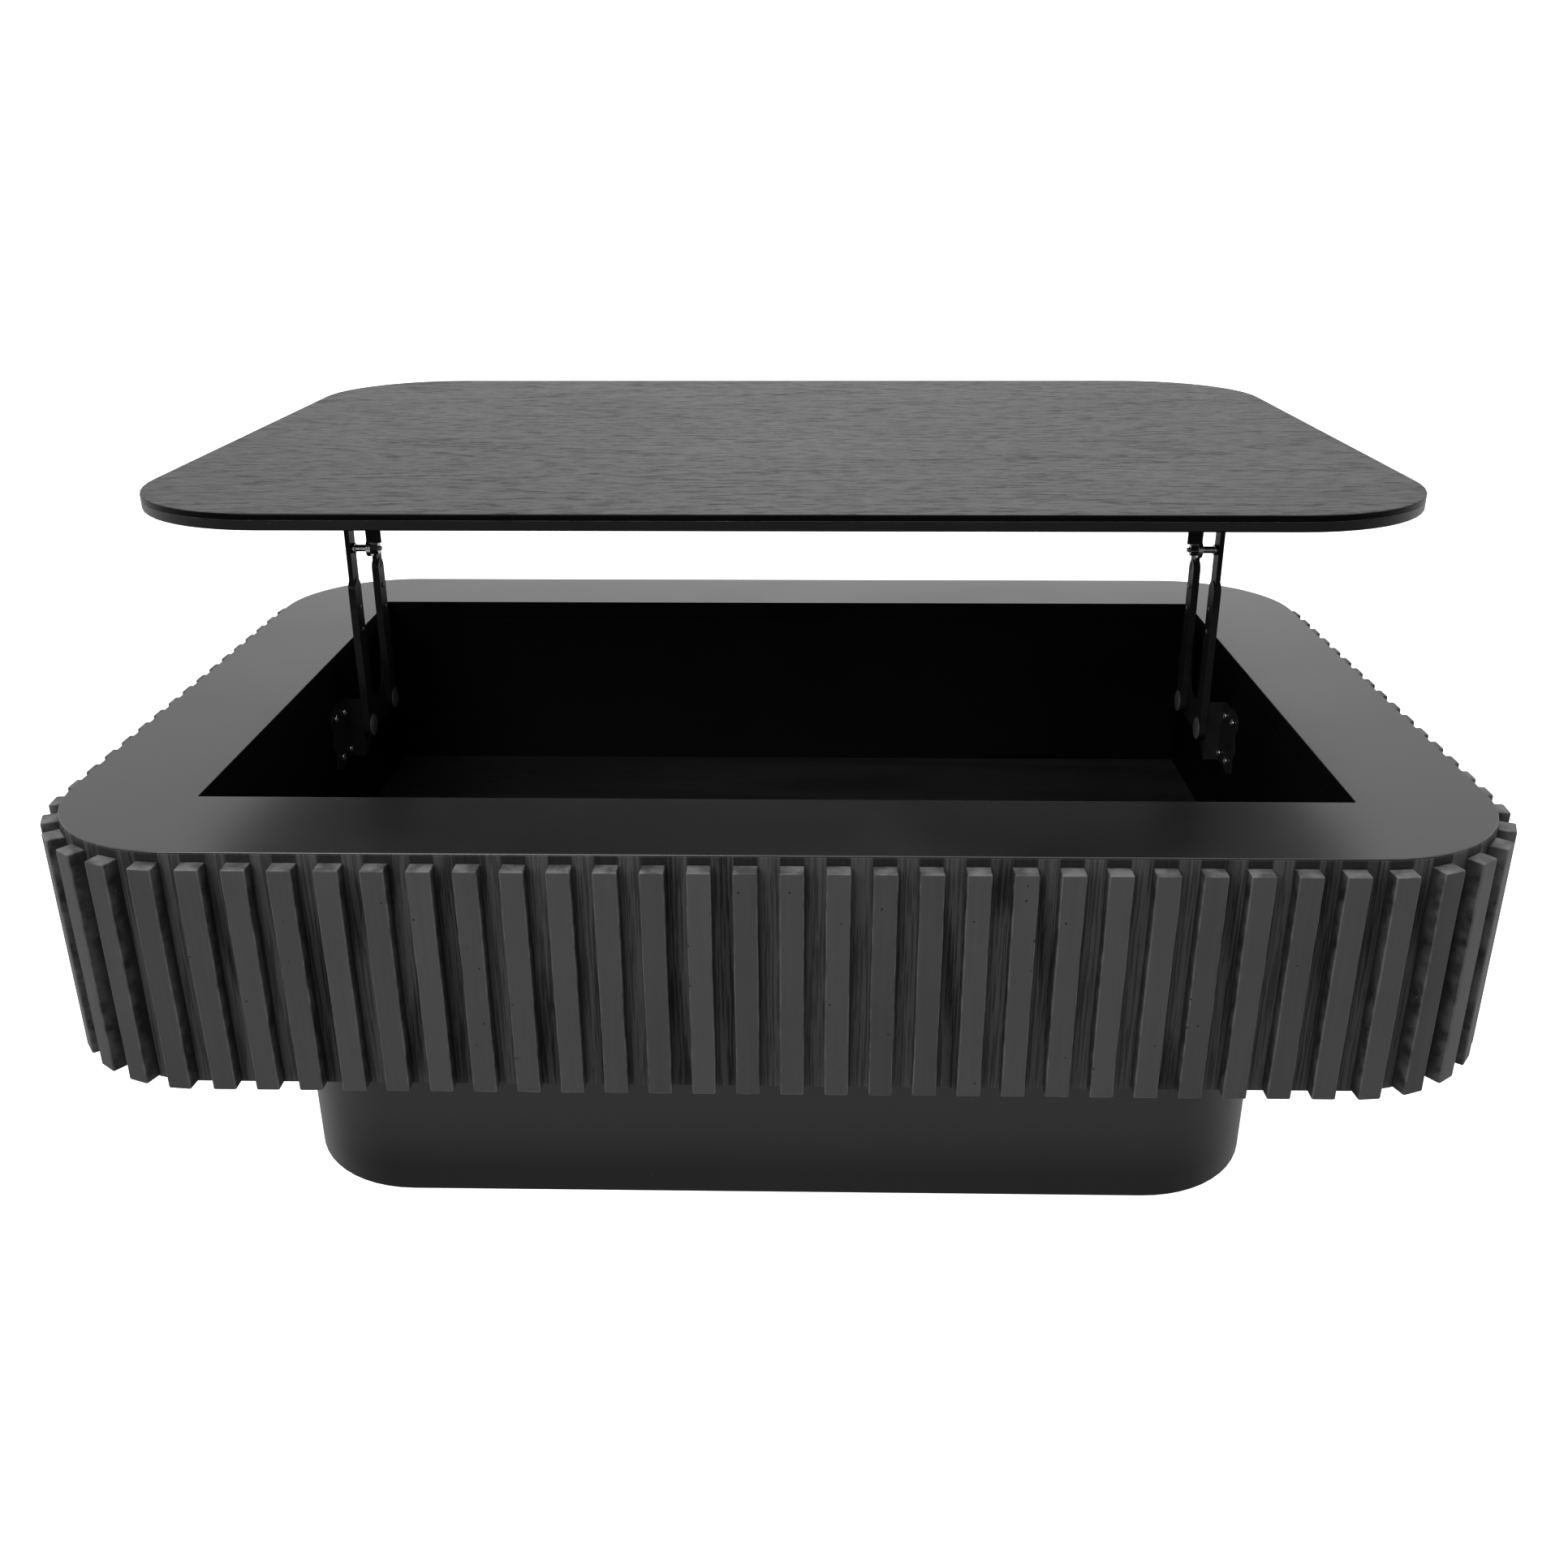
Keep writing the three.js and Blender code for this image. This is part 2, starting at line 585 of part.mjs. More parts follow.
/** Where the screws go up through each rail's flange, as u and y. */
function railScrewSpots() {
  const u = RAIL.width - RAIL_SCREW.fromEdge;
  const reach = RAIL.reach - RAIL_SCREW.fromEnd;
  return [[u, PIVOT.front + armShiftY - reach], [u, PIVOT.rear + armShiftY + reach]];
}

// --------------------------------------------------------------------------------- top

function buildTop() {
  const inset = TOP.edge;
  const outline = roundedRectangle(
    TOP.width - 2 * inset, TOP.depth - 2 * inset, TOP.radius - inset);
  const board = new THREE.ExtrudeGeometry(new THREE.Shape(outline), {
    depth: TOP.thickness - 2 * inset,
    bevelEnabled: true,
    bevelThickness: inset,
    bevelSize: inset,
    bevelSegments: 1,
  }).translate(0, TOP_RAISED_Y, topUnderside + inset);
  const pilot = () => bar(SCREW.hole, topUnderside - OVERRUN, topUnderside + RAIL_SCREW.pilot);
  const pilots = SIDES.flatMap(([, side]) => railScrewSpots().map(([u, y]) => (
    onSide(pilot().translate(u, y, 0), side))));
  addPiece('lift_top', shaped(board, [], pilots), 'veneer');
}

buildDrum();
buildPlinth();
for (const [name, side] of SIDES) buildMechanism(name, side);
buildTop();

export default table;
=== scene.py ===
# %% [markdown]
# # A lift top coffee table
# The table is a drum with a storage well, 106 upright slats round its side, a plinth, and a
# top that rises and moves back on two pairs of arms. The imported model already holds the
# sizes, the bodies and the hinges. This lesson builds the surfaces that are seen round that
# frame, in metres, and gives every piece its finish.

# %% Load the frame
import json
import math

import bmesh
import bpy
import numpy as np
from mathutils import Matrix, Vector


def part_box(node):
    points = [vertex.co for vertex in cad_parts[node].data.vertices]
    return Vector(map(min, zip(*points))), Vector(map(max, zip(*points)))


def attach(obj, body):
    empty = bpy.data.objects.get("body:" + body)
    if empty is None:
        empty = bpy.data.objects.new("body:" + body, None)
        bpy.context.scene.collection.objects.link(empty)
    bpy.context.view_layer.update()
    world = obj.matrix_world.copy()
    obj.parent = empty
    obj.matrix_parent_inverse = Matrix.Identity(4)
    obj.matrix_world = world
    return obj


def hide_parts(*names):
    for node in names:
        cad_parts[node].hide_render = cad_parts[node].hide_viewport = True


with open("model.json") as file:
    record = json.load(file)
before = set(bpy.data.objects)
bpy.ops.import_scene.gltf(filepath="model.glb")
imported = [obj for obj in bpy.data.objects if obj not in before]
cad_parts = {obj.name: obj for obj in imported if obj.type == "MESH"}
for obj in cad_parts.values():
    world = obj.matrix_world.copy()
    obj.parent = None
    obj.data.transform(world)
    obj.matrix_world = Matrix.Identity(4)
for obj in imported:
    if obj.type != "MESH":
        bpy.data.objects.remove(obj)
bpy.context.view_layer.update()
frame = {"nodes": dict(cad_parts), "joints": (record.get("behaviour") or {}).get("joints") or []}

# %% [markdown]
# ## Camera, light and floor
# A black table shows its shape by what it reflects, so the light matters more than the
# colour. The surroundings are one soft white tent that is bright above and behind, dimmer
# on the side of the viewer and bright again at the far sides. The level surfaces then pick
# up a pale sheen at a low angle, and the upright ones stay dark. The camera itself sees an
# even white backdrop, and a plain floor that glows as white without lighting the table.

# %% Camera
CAMERA_AT = (0.0323, -1.3808, 0.8957)
CAMERA_DOWN = math.radians(23.03)
CAMERA_LEFT = 0.021
CAMERA_ROLL = -0.003
LENS = 33.53
SENSOR = 36.0


def add_camera():
    """Stands the camera in front of the table, tilted down: turn, then tilt, then roll."""
    data = bpy.data.cameras.new("camera")
    data.lens = LENS
    data.sensor_width = SENSOR
    camera = bpy.data.objects.new("camera", data)
    bpy.context.scene.collection.objects.link(camera)
    turn = Matrix.Rotation(CAMERA_LEFT, 4, "Z")
    tilt = Matrix.Rotation(math.pi / 2 - CAMERA_DOWN, 4, "X")
    roll = Matrix.Rotation(CAMERA_ROLL, 4, "Z")
    camera.matrix_world = Matrix.Translation(CAMERA_AT) @ turn @ tilt @ roll
    bpy.context.scene.camera = camera


add_camera()

# %% Node helper


def add_node(tree, kind, inputs=None, **settings):
    """Adds one shader node. Settings are its own fields. Inputs go by name or number, and
    each is a number, a colour, or the output socket of another node, which gets a link."""
    made = tree.nodes.new(kind)
    for name, value in settings.items():
        setattr(made, name, value)
    for name, value in (inputs or {}).items():
        socket = made.inputs[name]
        if isinstance(value, bpy.types.NodeSocket):
            tree.links.new(value, socket)
        else:
            socket.default_value = value
    return made


# %% Light tent
TENT_BRIGHT = 1.0
TENT_DIM = 0.36
BACK_AND_UP = (-0.9, 0.5)
BESIDE_GAIN = 0.70
BESIDE = (0.0, 0.15)
FAR_SIDE_GAIN = 1.7
FAR_SIDE = (0.3, 0.8)
OVERHEAD_GAIN = 1.3
OVERHEAD = (0.12, 0.40)
BACKDROP = 2.6


def add_gain(tree, value, reach, gain):
    """A factor that goes from 1 to gain as a value goes through its reach."""
    made = add_node(tree, "ShaderNodeMapRange", {
        "Value": value, "From Min": reach[0], "From Max": reach[1],
        "To Min": 1.0, "To Max": gain})
    return made.outputs["Result"]


def add_product(tree, first, second):
    """One value times another."""
    made = add_node(tree, "ShaderNodeMath", {0: first, 1: second}, operation="MULTIPLY")
    return made.outputs[0]


def add_tent():
    """Makes the surroundings. With (x, y, z) the way looked, brightness rises with y + z,
    dips a little with x squared, rises again at the far sides, and is raised overhead. The
    camera itself sees one even backdrop."""
    world = bpy.data.worlds.new("light_tent")
    bpy.context.scene.world = world
    world.use_nodes = True
    tree = world.node_tree
    tree.nodes.clear()
    way = add_node(tree, "ShaderNodeTexCoord").outputs["Generated"]
    parts = add_node(tree, "ShaderNodeSeparateXYZ", {0: way})
    back = add_node(tree, "ShaderNodeMath", {0: parts.outputs["Z"], 1: parts.outputs["Y"]},
                    operation="ADD")
    level = add_node(tree, "ShaderNodeMapRange", {
        "Value": back.outputs[0], "From Min": BACK_AND_UP[0], "From Max": BACK_AND_UP[1],
        "To Min": TENT_DIM, "To Max": TENT_BRIGHT}, interpolation_type="SMOOTHSTEP")
    sideways = add_product(tree, parts.outputs["X"], parts.outputs["X"])
    sides = add_product(tree, add_gain(tree, sideways, BESIDE, BESIDE_GAIN),
                        add_gain(tree, sideways, FAR_SIDE, FAR_SIDE_GAIN))
    overhead = add_gain(tree, parts.outputs["Z"], OVERHEAD, OVERHEAD_GAIN)
    tent = add_product(tree, level.outputs["Result"], add_product(tree, overhead, sides))
    seen = add_node(tree, "ShaderNodeLightPath").outputs["Is Camera Ray"]
    light = add_node(tree, "ShaderNodeMix", {"Factor": seen, "A": tent, "B": BACKDROP})
    glow = add_node(tree, "ShaderNodeBackground", {"Strength": light.outputs["Result"]})
    out = add_node(tree, "ShaderNodeOutputWorld")
    tree.links.new(glow.outputs[0], out.inputs["Surface"])


add_tent()
bpy.context.scene.view_settings.view_transform = "Standard"


# %% Softbox
SOFTBOX_AT = (-1.3, -3.0, 2.2)
SOFTBOX_AIM = (0, 0, 0.3)
SOFTBOX_SIZE = (2.0, 1.4)
SOFTBOX_WATTS = 52


def add_softbox():
    """A large area lamp at a point, turned to face another point."""
    data = bpy.data.lights.new("softbox_front", "AREA")
    data.shape = "RECTANGLE"
    data.size, data.size_y = SOFTBOX_SIZE
    data.energy = SOFTBOX_WATTS
    lamp = bpy.data.objects.new("softbox_front", data)
    lamp.location = SOFTBOX_AT
    away = Vector(SOFTBOX_AT) - Vector(SOFTBOX_AIM)
    lamp.rotation_euler = away.to_track_quat("Z", "Y").to_euler()
    bpy.context.scene.collection.objects.link(lamp)


add_softbox()

# %% [markdown]
# ## Surfaces from numbers
# Most pieces are a stack of loops. Each loop is an outline, and each next loop is the same
# outline a little further in or a little higher, which rounds an edge as a router would.
# numpy works out all the points at once, and a grid of numbers says which points share a
# face.

# %% Loops and faces
LEAST_RADIUS = 0.0002
CORNER_STEPS = 14
SIDE_STEPS = 8


def rounded_loop(width, depth, radius):
    """Points round a rectangle with rounded corners, anticlockwise from above. A corner
    point is the corner's centre plus radius times (cos, sin). A side point lies a share of
    the way from the end of one corner to the start of the next."""
    turn = np.radians(np.linspace(-90, 0, CORNER_STEPS + 1) + 90 * np.arange(4)[:, None])
    sign = np.array([[1, -1], [1, 1], [-1, 1], [-1, -1]])
    centre = sign * (np.array([width, depth]) / 2 - radius)
    arcs = centre[:, None] + radius * np.stack([np.cos(turn), np.sin(turn)], -1)
    share = np.linspace(0, 1, SIDE_STEPS + 1)[None, 1:-1, None]
    start, end = arcs[:, -1:], np.roll(arcs[:, :1], -1, axis=0)
    return np.concatenate([arcs, start + (end - start) * share], 1).reshape(-1, 2)


def quads(rows, columns, ring=False):
    """Faces of a grid of rows by columns. Columns always close on themselves, and rows
    close too when ring is true. A face is a point, its right, that one's next, its next."""
    index = np.arange(rows * columns).reshape(rows, columns)
    here = index if ring else index[:-1]
    above = np.roll(index, -1, 0) if ring else index[1:]
    faces = np.stack([here, np.roll(here, -1, 1), np.roll(above, -1, 1), above], -1)
    return faces.reshape(-1, 4)


def stack_faces(rows, columns, copies=1):
    """Faces of a closed stack of loops: the quads between, the first loop turned over as
    a lid below and the last as a lid above. Copies repeat them further along the points."""
    step = rows * columns * np.arange(copies)[:, None]
    body = (quads(rows, columns).reshape(1, -1) + step).reshape(-1, 4)
    below = np.arange(columns)[::-1] + step
    above = np.arange(columns) + (rows - 1) * columns + step
    return body.tolist() + below.tolist() + above.tolist()


def rounded_edge(low, high, radius, steps=4):
    """The profile of a board's edge as insets and heights: a quarter round below, a
    straight side and a quarter round above. Inset is radius times (1 - cos)."""
    turn = np.radians(np.linspace(-90, 0, steps + 1))
    inset = radius * (1 - np.cos(turn))
    lift = radius * (1 + np.sin(turn))
    return (np.concatenate([inset, inset[::-1]]),
            np.concatenate([low + lift, high - lift[::-1]]))


def board_loops(width, depth, radius, insets, heights):
    """A board's loops: its outline drawn in by each inset at each height."""
    loops = [rounded_loop(width - 2 * i, depth - 2 * i, max(radius - i, LEAST_RADIUS))
             for i in insets]
    flat = np.stack(loops)
    lift = np.broadcast_to(np.asarray(heights)[:, None, None], flat.shape[:2] + (1,))
    return np.concatenate([flat, lift], -1)


# %% Making a piece


CREASE = math.radians(38)


def add_piece(name, points, faces, finish, body, nodes, turned_over=False):
    """Puts points and faces into a mesh, shades it smooth except past the crease angle,
    evens the shading by face area, and hands the piece to its body, its finish and the
    CAD nodes that it stands for."""
    mesh = bpy.data.meshes.new(name)
    if turned_over:
        faces = [face[::-1] for face in faces]
    mesh.from_pydata(np.asarray(points).reshape(-1, 3).tolist(), [], faces)
    mesh.materials.append(finish)
    mesh.shade_smooth()
    mesh.set_sharp_from_angle(angle=CREASE)
    piece = bpy.data.objects.new(name, mesh)
    bpy.context.scene.collection.objects.link(piece)
    even = piece.modifiers.new("even_shading", "WEIGHTED_NORMAL")
    even.keep_sharp = True
    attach(piece, body)
    if nodes:
        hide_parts(*nodes)
    return piece


def paint_faces(piece, name, values):
    """Stores one number on every face for a finish to read."""
    layer = piece.data.attributes.new(name, "FLOAT", "FACE")
    layer.data.foreach_set("value", np.asarray(values, np.float32))


def paint_points(piece, name, values):
    """Stores one number, or one vector, on every point for a finish to read."""
    values = np.asarray(values, np.float32)
    per_point = values.size // len(piece.data.vertices)
    kind, field = ("FLOAT_VECTOR", "vector") if per_point == 3 else ("FLOAT", "value")
    layer = piece.data.attributes.new(name, kind, "POINT")
    layer.data.foreach_set(field, values.ravel())


# %% [markdown]
# ## Shared effects
# Each effect that more than one finish uses is a node group, made once. The wood grain is
# long stretched noise for the pores and a warped wave for the growth rings. The dust and
# pinholes are small cells, and the handling marks are broad soft clouds that change how
# dull the surface is.

# %% Group helper


def start_group(name, inputs, outputs):
    """Makes an empty node group. Inputs are name, kind and value; outputs name and kind."""
    group = bpy.data.node_groups.new(name, "ShaderNodeTree")
    for label, kind, value in inputs:
        socket = group.interface.new_socket(label, in_out="INPUT", socket_type=kind)
        if value is not None:
            socket.default_value = value
    for label, kind in outputs:
        group.interface.new_socket(label, in_out="OUTPUT", socket_type=kind)
    return group, add_node(group, "NodeGroupInput"), add_node(group, "NodeGroupOutput")


NUMBER, VECTOR = "NodeSocketFloat", "NodeSocketVector"


# %% Open grain
def make_grain():
    """Wood grain. Figure is a wave across the grain, bent by slow noise, so its rings
    close into arches. Pores are noise pulled out along the grain and cut off high up."""
    group, given, out = start_group(
        "open_grain",
        [("Vector", VECTOR, None), ("Rings", VECTOR, (0.5, 12.0, 1.0)),
         ("Pores", VECTOR, (18.0, 700.0, 18.0)), ("Waviness", NUMBER, 1.2),
         ("Ring Edge", NUMBER, -0.6), ("Ring Count", NUMBER, 42.0)],
        [("Figure", NUMBER), ("Pore", NUMBER), ("Fibre", NUMBER)])
    spread = add_node(group, "ShaderNodeVectorMath",
                      {0: given.outputs["Vector"], 1: given.outputs["Rings"]},
                      operation="MULTIPLY")
    slow = add_node(group, "ShaderNodeTexNoise", {
        "Vector": spread.outputs[0], "Scale": 0.55, "Detail": 2.0, "Roughness": 0.45})
    centred = add_node(group, "ShaderNodeVectorMath",
                       {0: slow.outputs["Color"], 1: (0.5, 0.5, 0.5)}, operation="SUBTRACT")
    push = add_node(group, "ShaderNodeVectorMath",
                    {0: centred.outputs[0], "Scale": given.outputs["Waviness"]},
                    operation="SCALE")
    bent = add_node(group, "ShaderNodeVectorMath",
                    {0: spread.outputs[0], 1: push.outputs[0]}, operation="ADD")
    rings = add_node(group, "ShaderNodeTexNoise", {
        "Vector": bent.outputs[0], "Scale": 1.0, "Detail": 1.0, "Roughness": 0.4})
    bands = add_node(group, "ShaderNodeMath",
                     {0: rings.outputs["Fac"], 1: given.outputs["Ring Count"]},
                     operation="MULTIPLY")
    wave = add_node(group, "ShaderNodeMath", {0: bands.outputs[0]}, operation="SINE")
    figure = add_node(group, "ShaderNodeMapRange", {
        "Value": wave.outputs[0], "From Min": given.outputs["Ring Edge"], "From Max": 1.0})
    long_way = add_node(group, "ShaderNodeVectorMath",
                        {0: given.outputs["Vector"], 1: given.outputs["Pores"]},
                        operation="MULTIPLY")
    fine = add_node(group, "ShaderNodeTexNoise", {
        "Vector": long_way.outputs[0], "Scale": 1.0, "Detail": 3.0, "Roughness": 0.65})
    pore = add_node(group, "ShaderNodeMapRange", {
        "Value": fine.outputs["Fac"], "From Min": 0.51, "From Max": 0.60})
    where = add_node(group, "ShaderNodeMath", {
        0: figure.outputs[0], 1: 0.45, 2: 0.55}, operation="MULTIPLY_ADD")
    gathered = add_node(group, "ShaderNodeMath",
                        {0: pore.outputs[0], 1: where.outputs[0]}, operation="MULTIPLY")
    group.links.new(figure.outputs[0], out.inputs["Figure"])
    group.links.new(gathered.outputs[0], out.inputs["Pore"])
    group.links.new(fine.outputs["Fac"], out.inputs["Fibre"])
    return group


# %% Specks and handling marks
def make_specks():
    """Dust, pinholes and paint nibs: one dot near the middle of some cells of a Voronoi
    pattern. A dot shows where the distance is under Size and the cell's own random number
    is under Share."""
    group, given, out = start_group(
        "specks",
        [("Vector", VECTOR, None), ("Scale", NUMBER, 120.0), ("Size", NUMBER, 0.14),
         ("Share", NUMBER, 0.2)],
        [("Dot", NUMBER)])
    cells = add_node(group, "ShaderNodeTexVoronoi", {
        "Vector": given.outputs["Vector"], "Scale": given.outputs["Scale"]})
    near = add_node(group, "ShaderNodeMath",
                    {0: cells.outputs["Distance"], 1: given.outputs["Size"]},
                    operation="LESS_THAN")
    chance = add_node(group, "ShaderNodeSeparateColor", {0: cells.outputs["Color"]})
    some = add_node(group, "ShaderNodeMath",
                    {0: chance.outputs[0], 1: given.outputs["Share"]}, operation="LESS_THAN")
    both = add_node(group, "ShaderNodeMath", {0: near.outputs[0], 1: some.outputs[0]},
                    operation="MULTIPLY")
    group.links.new(both.outputs[0], out.inputs["Dot"])
    return group


def make_handling():
    """Handling marks: broad soft clouds with finer ones in them, from 0 to 1."""
    group, given, out = start_group(
        "handling", [("Vector", VECTOR, None), ("Scale", NUMBER, 5.0)], [("Cloud", NUMBER)])
    noise = add_node(group, "ShaderNodeTexNoise", {
        "Vector": given.outputs["Vector"], "Scale": given.outputs["Scale"],
        "Detail": 4.0, "Roughness": 0.55, "Distortion": 0.4})
    cloud = add_node(group, "ShaderNodeMapRange", {
        "Value": noise.outputs["Fac"], "From Min": 0.32, "From Max": 0.68})
    group.links.new(cloud.outputs[0], out.inputs["Cloud"])
    return group


GRAIN, SPECKS, HANDLING = make_grain(), make_specks(), make_handling()
print("shared effects:", [g.name for g in (GRAIN, SPECKS, HANDLING)])

# %% [markdown]
# ## Finishes
# All the wood is stained or lacquered black, yet no two surfaces look the same. The top is
# open-grained veneer under a satin stain. The deck and the plinth are smooth satin lacquer
# over board, with painted light making the plinth lighter towards its top. The slats are
# smooth with softly rounded corners that carry a painted highlight, worn ends and painted
# shade on their sides, and the panels behind them show coarse upright grain. The colours
# are close to black, so roughness and bump carry most of the difference.

# %% Finish helpers


def start_finish(name, rough, spec=0.5, metal=0.0):
    """A new material with its Principled shader, and the place on the piece to read."""
    material = bpy.data.materials.new(name)
    material.use_nodes = True
    tree = material.node_tree
    shader = tree.nodes["Principled BSDF"]
    shader.inputs["Roughness"].default_value = rough
    shader.inputs["Specular IOR Level"].default_value = spec
    shader.inputs["Metallic"].default_value = metal
    place = add_node(tree, "ShaderNodeTexCoord").outputs["Object"]
    return material, tree, shader, place


def use_group(tree, group, inputs):
    """Places a shared effect in a finish with its own values."""
    made = tree.nodes.new("ShaderNodeGroup")
    made.node_tree = group
    for name, value in inputs.items():
        if isinstance(value, bpy.types.NodeSocket):
            tree.links.new(value, made.inputs[name])
        else:
            made.inputs[name].default_value = value
    return made


def grey(level):
    """A neutral colour of one brightness."""
    return (level, level, level, 1.0)


def mix_tones(tree, share, dark, light):
    """A colour between two, by a mask from 0 to 1. Either end may be a colour socket."""
    made = add_node(tree, "ShaderNodeMix", data_type="RGBA")
    for place, value in ((made.inputs[0], share), (made.inputs[6], dark),
                         (made.inputs[7], light)):
        if isinstance(value, bpy.types.NodeSocket):
            tree.links.new(value, place)
        else:
            place.default_value = value
    return made.outputs[2]


def span(tree, value, low, high, from_low=0.0, from_high=1.0):
    """Carries a number from one range to another."""
    made = add_node(tree, "ShaderNodeMapRange", {
        "Value": value, "From Min": from_low, "From Max": from_high,
        "To Min": low, "To Max": high})
    return made.outputs["Result"]


def sum_of(tree, a, share_a, b, share_b):
    """share_a times a, plus share_b times b."""
    first = add_node(tree, "ShaderNodeMath", {0: a, 1: share_a}, operation="MULTIPLY")
    both = add_node(tree, "ShaderNodeMath",
                    {0: b, 1: share_b, 2: first.outputs[0]}, operation="MULTIPLY_ADD")
    return both.outputs[0]


def add_bump(tree, shader, height, depth):
    """Raises the surface by a height mask, depth in metres."""
    bump = add_node(tree, "ShaderNodeBump", {
        "Height": height, "Distance": depth, "Strength": 1.0})
    tree.links.new(bump.outputs["Normal"], shader.inputs["Normal"])


# %% Veneer of the top and of the panels
def veneer(name, rings, pores, waviness, tones, rough, depth, ring_edge=-0.6,
           ring_count=42.0, place_from=None):
    """Stained open-grained veneer. Tones are the pore, dark ring and light ring greys,
    rough the dullest and glossiest, depth how deep the pores lie. Rings are thin lines
    where ring_edge comes near 1. The grain is read at the place on the piece, or at a
    vector that is stored on its points under the name place_from."""
    material, tree, shader, place = start_finish(name, rough[0])
    if place_from:
        place = add_node(tree, "ShaderNodeAttribute", attribute_name=place_from).outputs["Vector"]
    grain = use_group(tree, GRAIN, {
        "Vector": place, "Rings": rings, "Pores": pores, "Waviness": waviness,
        "Ring Edge": ring_edge, "Ring Count": ring_count})
    marks = use_group(tree, HANDLING, {"Vector": place, "Scale": 3.0})
    figure, pore, fibre = (grain.outputs[k] for k in ("Figure", "Pore", "Fibre"))
    rings_tone = mix_tones(tree, figure, grey(tones[2]), grey(tones[1]))
    tone = mix_tones(tree, pore, rings_tone, grey(tones[0]))
    tree.links.new(tone, shader.inputs["Base Color"])
    dull = sum_of(tree, marks.outputs["Cloud"], 0.08, pore, 0.25)
    tree.links.new(span(tree, dull, rough[1], rough[0], 0.0, 0.33), shader.inputs["Roughness"])
    height = sum_of(tree, pore, -1.0, fibre, 0.35)
    add_bump(tree, shader, height, depth)
    return material


TOP_VENEER = veneer(
    "top_veneer", rings=(0.9, 7.0, 1.0), pores=(42.0, 190.0, 42.0), waviness=1.3,
    tones=(0.014, 0.030, 0.054), rough=(0.62, 0.42), depth=0.0005,
    ring_edge=0.2, ring_count=130.0)
PANEL_VENEER = veneer(
    "panel_veneer", place_from="grain_at", rings=(9.0, 1.1, 1.0), pores=(560.0, 11.0, 14.0),
    waviness=1.2, tones=(0.0012, 0.024, 0.062), rough=(0.7, 0.5), depth=0.0005,
    ring_edge=0.25)
WELL_FLOOR = veneer(
    "well_floor_veneer", rings=(0.9, 7.0, 1.0), pores=(14.0, 520.0, 14.0), waviness=1.3,
    tones=(0.006, 0.016, 0.024), rough=(0.6, 0.45), depth=0.0002)


# %% Satin lacquer
# Painted light: heights over which the plinth's tone rises, its top lighter and its foot darker as
# light falls on it.
PAINTED_LIGHT_START = 0.03
PAINTED_LIGHT_TOP = 0.15


def lacquer(name, tone, rough, speck_share, streak=0.0, spec=0.5, painted_light_rise=0.0):
    """Smooth satin lacquer over board: soft clouds in the gloss, a few pale dust specks
    and, where streak is above 0, faint upright brush marks. Where the painted light rise is
    above 0 the tone rises with height, from its start height up to 1 + that rise times
    itself at its top height: painted light, a lighter top and a darker foot as light falls
    on them."""
    material, tree, shader, place = start_finish(name, rough, spec)
    marks = use_group(tree, HANDLING, {"Vector": place, "Scale": 4.0})
    dust = use_group(tree, SPECKS, {
        "Vector": place, "Scale": 95.0, "Size": 0.085, "Share": speck_share})
    brushed = add_node(tree, "ShaderNodeVectorMath", {0: place, 1: (260.0, 260.0, 5.0)},
                       operation="MULTIPLY")
    fine = add_node(tree, "ShaderNodeTexNoise", {
        "Vector": brushed.outputs[0], "Scale": 1.0, "Detail": 2.0})
    cloudy = sum_of(tree, marks.outputs["Cloud"], 1.0 - streak, fine.outputs["Fac"], streak)
    base = mix_tones(tree, cloudy, grey(tone * 0.82), grey(tone * 1.2))
    # Painted light: the tone grows lighter towards the top.
    if painted_light_rise > 0:
        height = add_node(tree, "ShaderNodeSeparateXYZ", {0: place}).outputs["Z"]
        share = span(tree, height, 0.0, 1.0, PAINTED_LIGHT_START, PAINTED_LIGHT_TOP)
        base = mix_tones(tree, share, base, grey(tone * (1 + painted_light_rise)))
    tree.links.new(mix_tones(tree, dust.outputs["Dot"], base, grey(tone * 3.2)),
                   shader.inputs["Base Color"])
    tree.links.new(span(tree, marks.outputs["Cloud"], rough * 0.86, rough * 1.16),
                   shader.inputs["Roughness"])
    orange = add_node(tree, "ShaderNodeTexNoise", {"Vector": place, "Scale": 420.0, "Detail": 1.0})
    height = sum_of(tree, orange.outputs["Fac"], 1.0, fine.outputs["Fac"], streak)
    add_bump(tree, shader, height, 0.00003)
    return material


DECK_LACQUER = lacquer("deck_lacquer", tone=0.010, rough=0.22, speck_share=0.2, spec=1.0)
# The plinth's tone carries painted light, lighter towards its top.
PLINTH_LACQUER = lacquer("plinth_lacquer", tone=0.0095, rough=0.36, speck_share=0.06,
                         streak=0.35, painted_light_rise=6.3)
EDGE_LACQUER = lacquer("edge_lacquer", tone=0.008, rough=0.3, speck_share=0.03, spec=0.25)
BAND_LACQUER = lacquer("band_lacquer", tone=0.0015, rough=0.25, speck_share=0.03, spec=0.06)
WELL_PAINT = lacquer("well_paint", tone=0.0009, rough=0.5, speck_share=0.03, spec=0.1)


# %% Slat stain
SLAT_FACE = (0.037, 0.078)
# Greys for the slats' sides, darker as painted shade between neighbouring slats.
SLAT_SIDE_SHADE = (0.004, 0.022)
# One pale grey for worn slat ends and for the painted highlight along the slats' corners.
WEAR_AND_HIGHLIGHT_TONE = 0.17
DRIP_TONE = 0.16
PINHOLE_TONE = 0.004


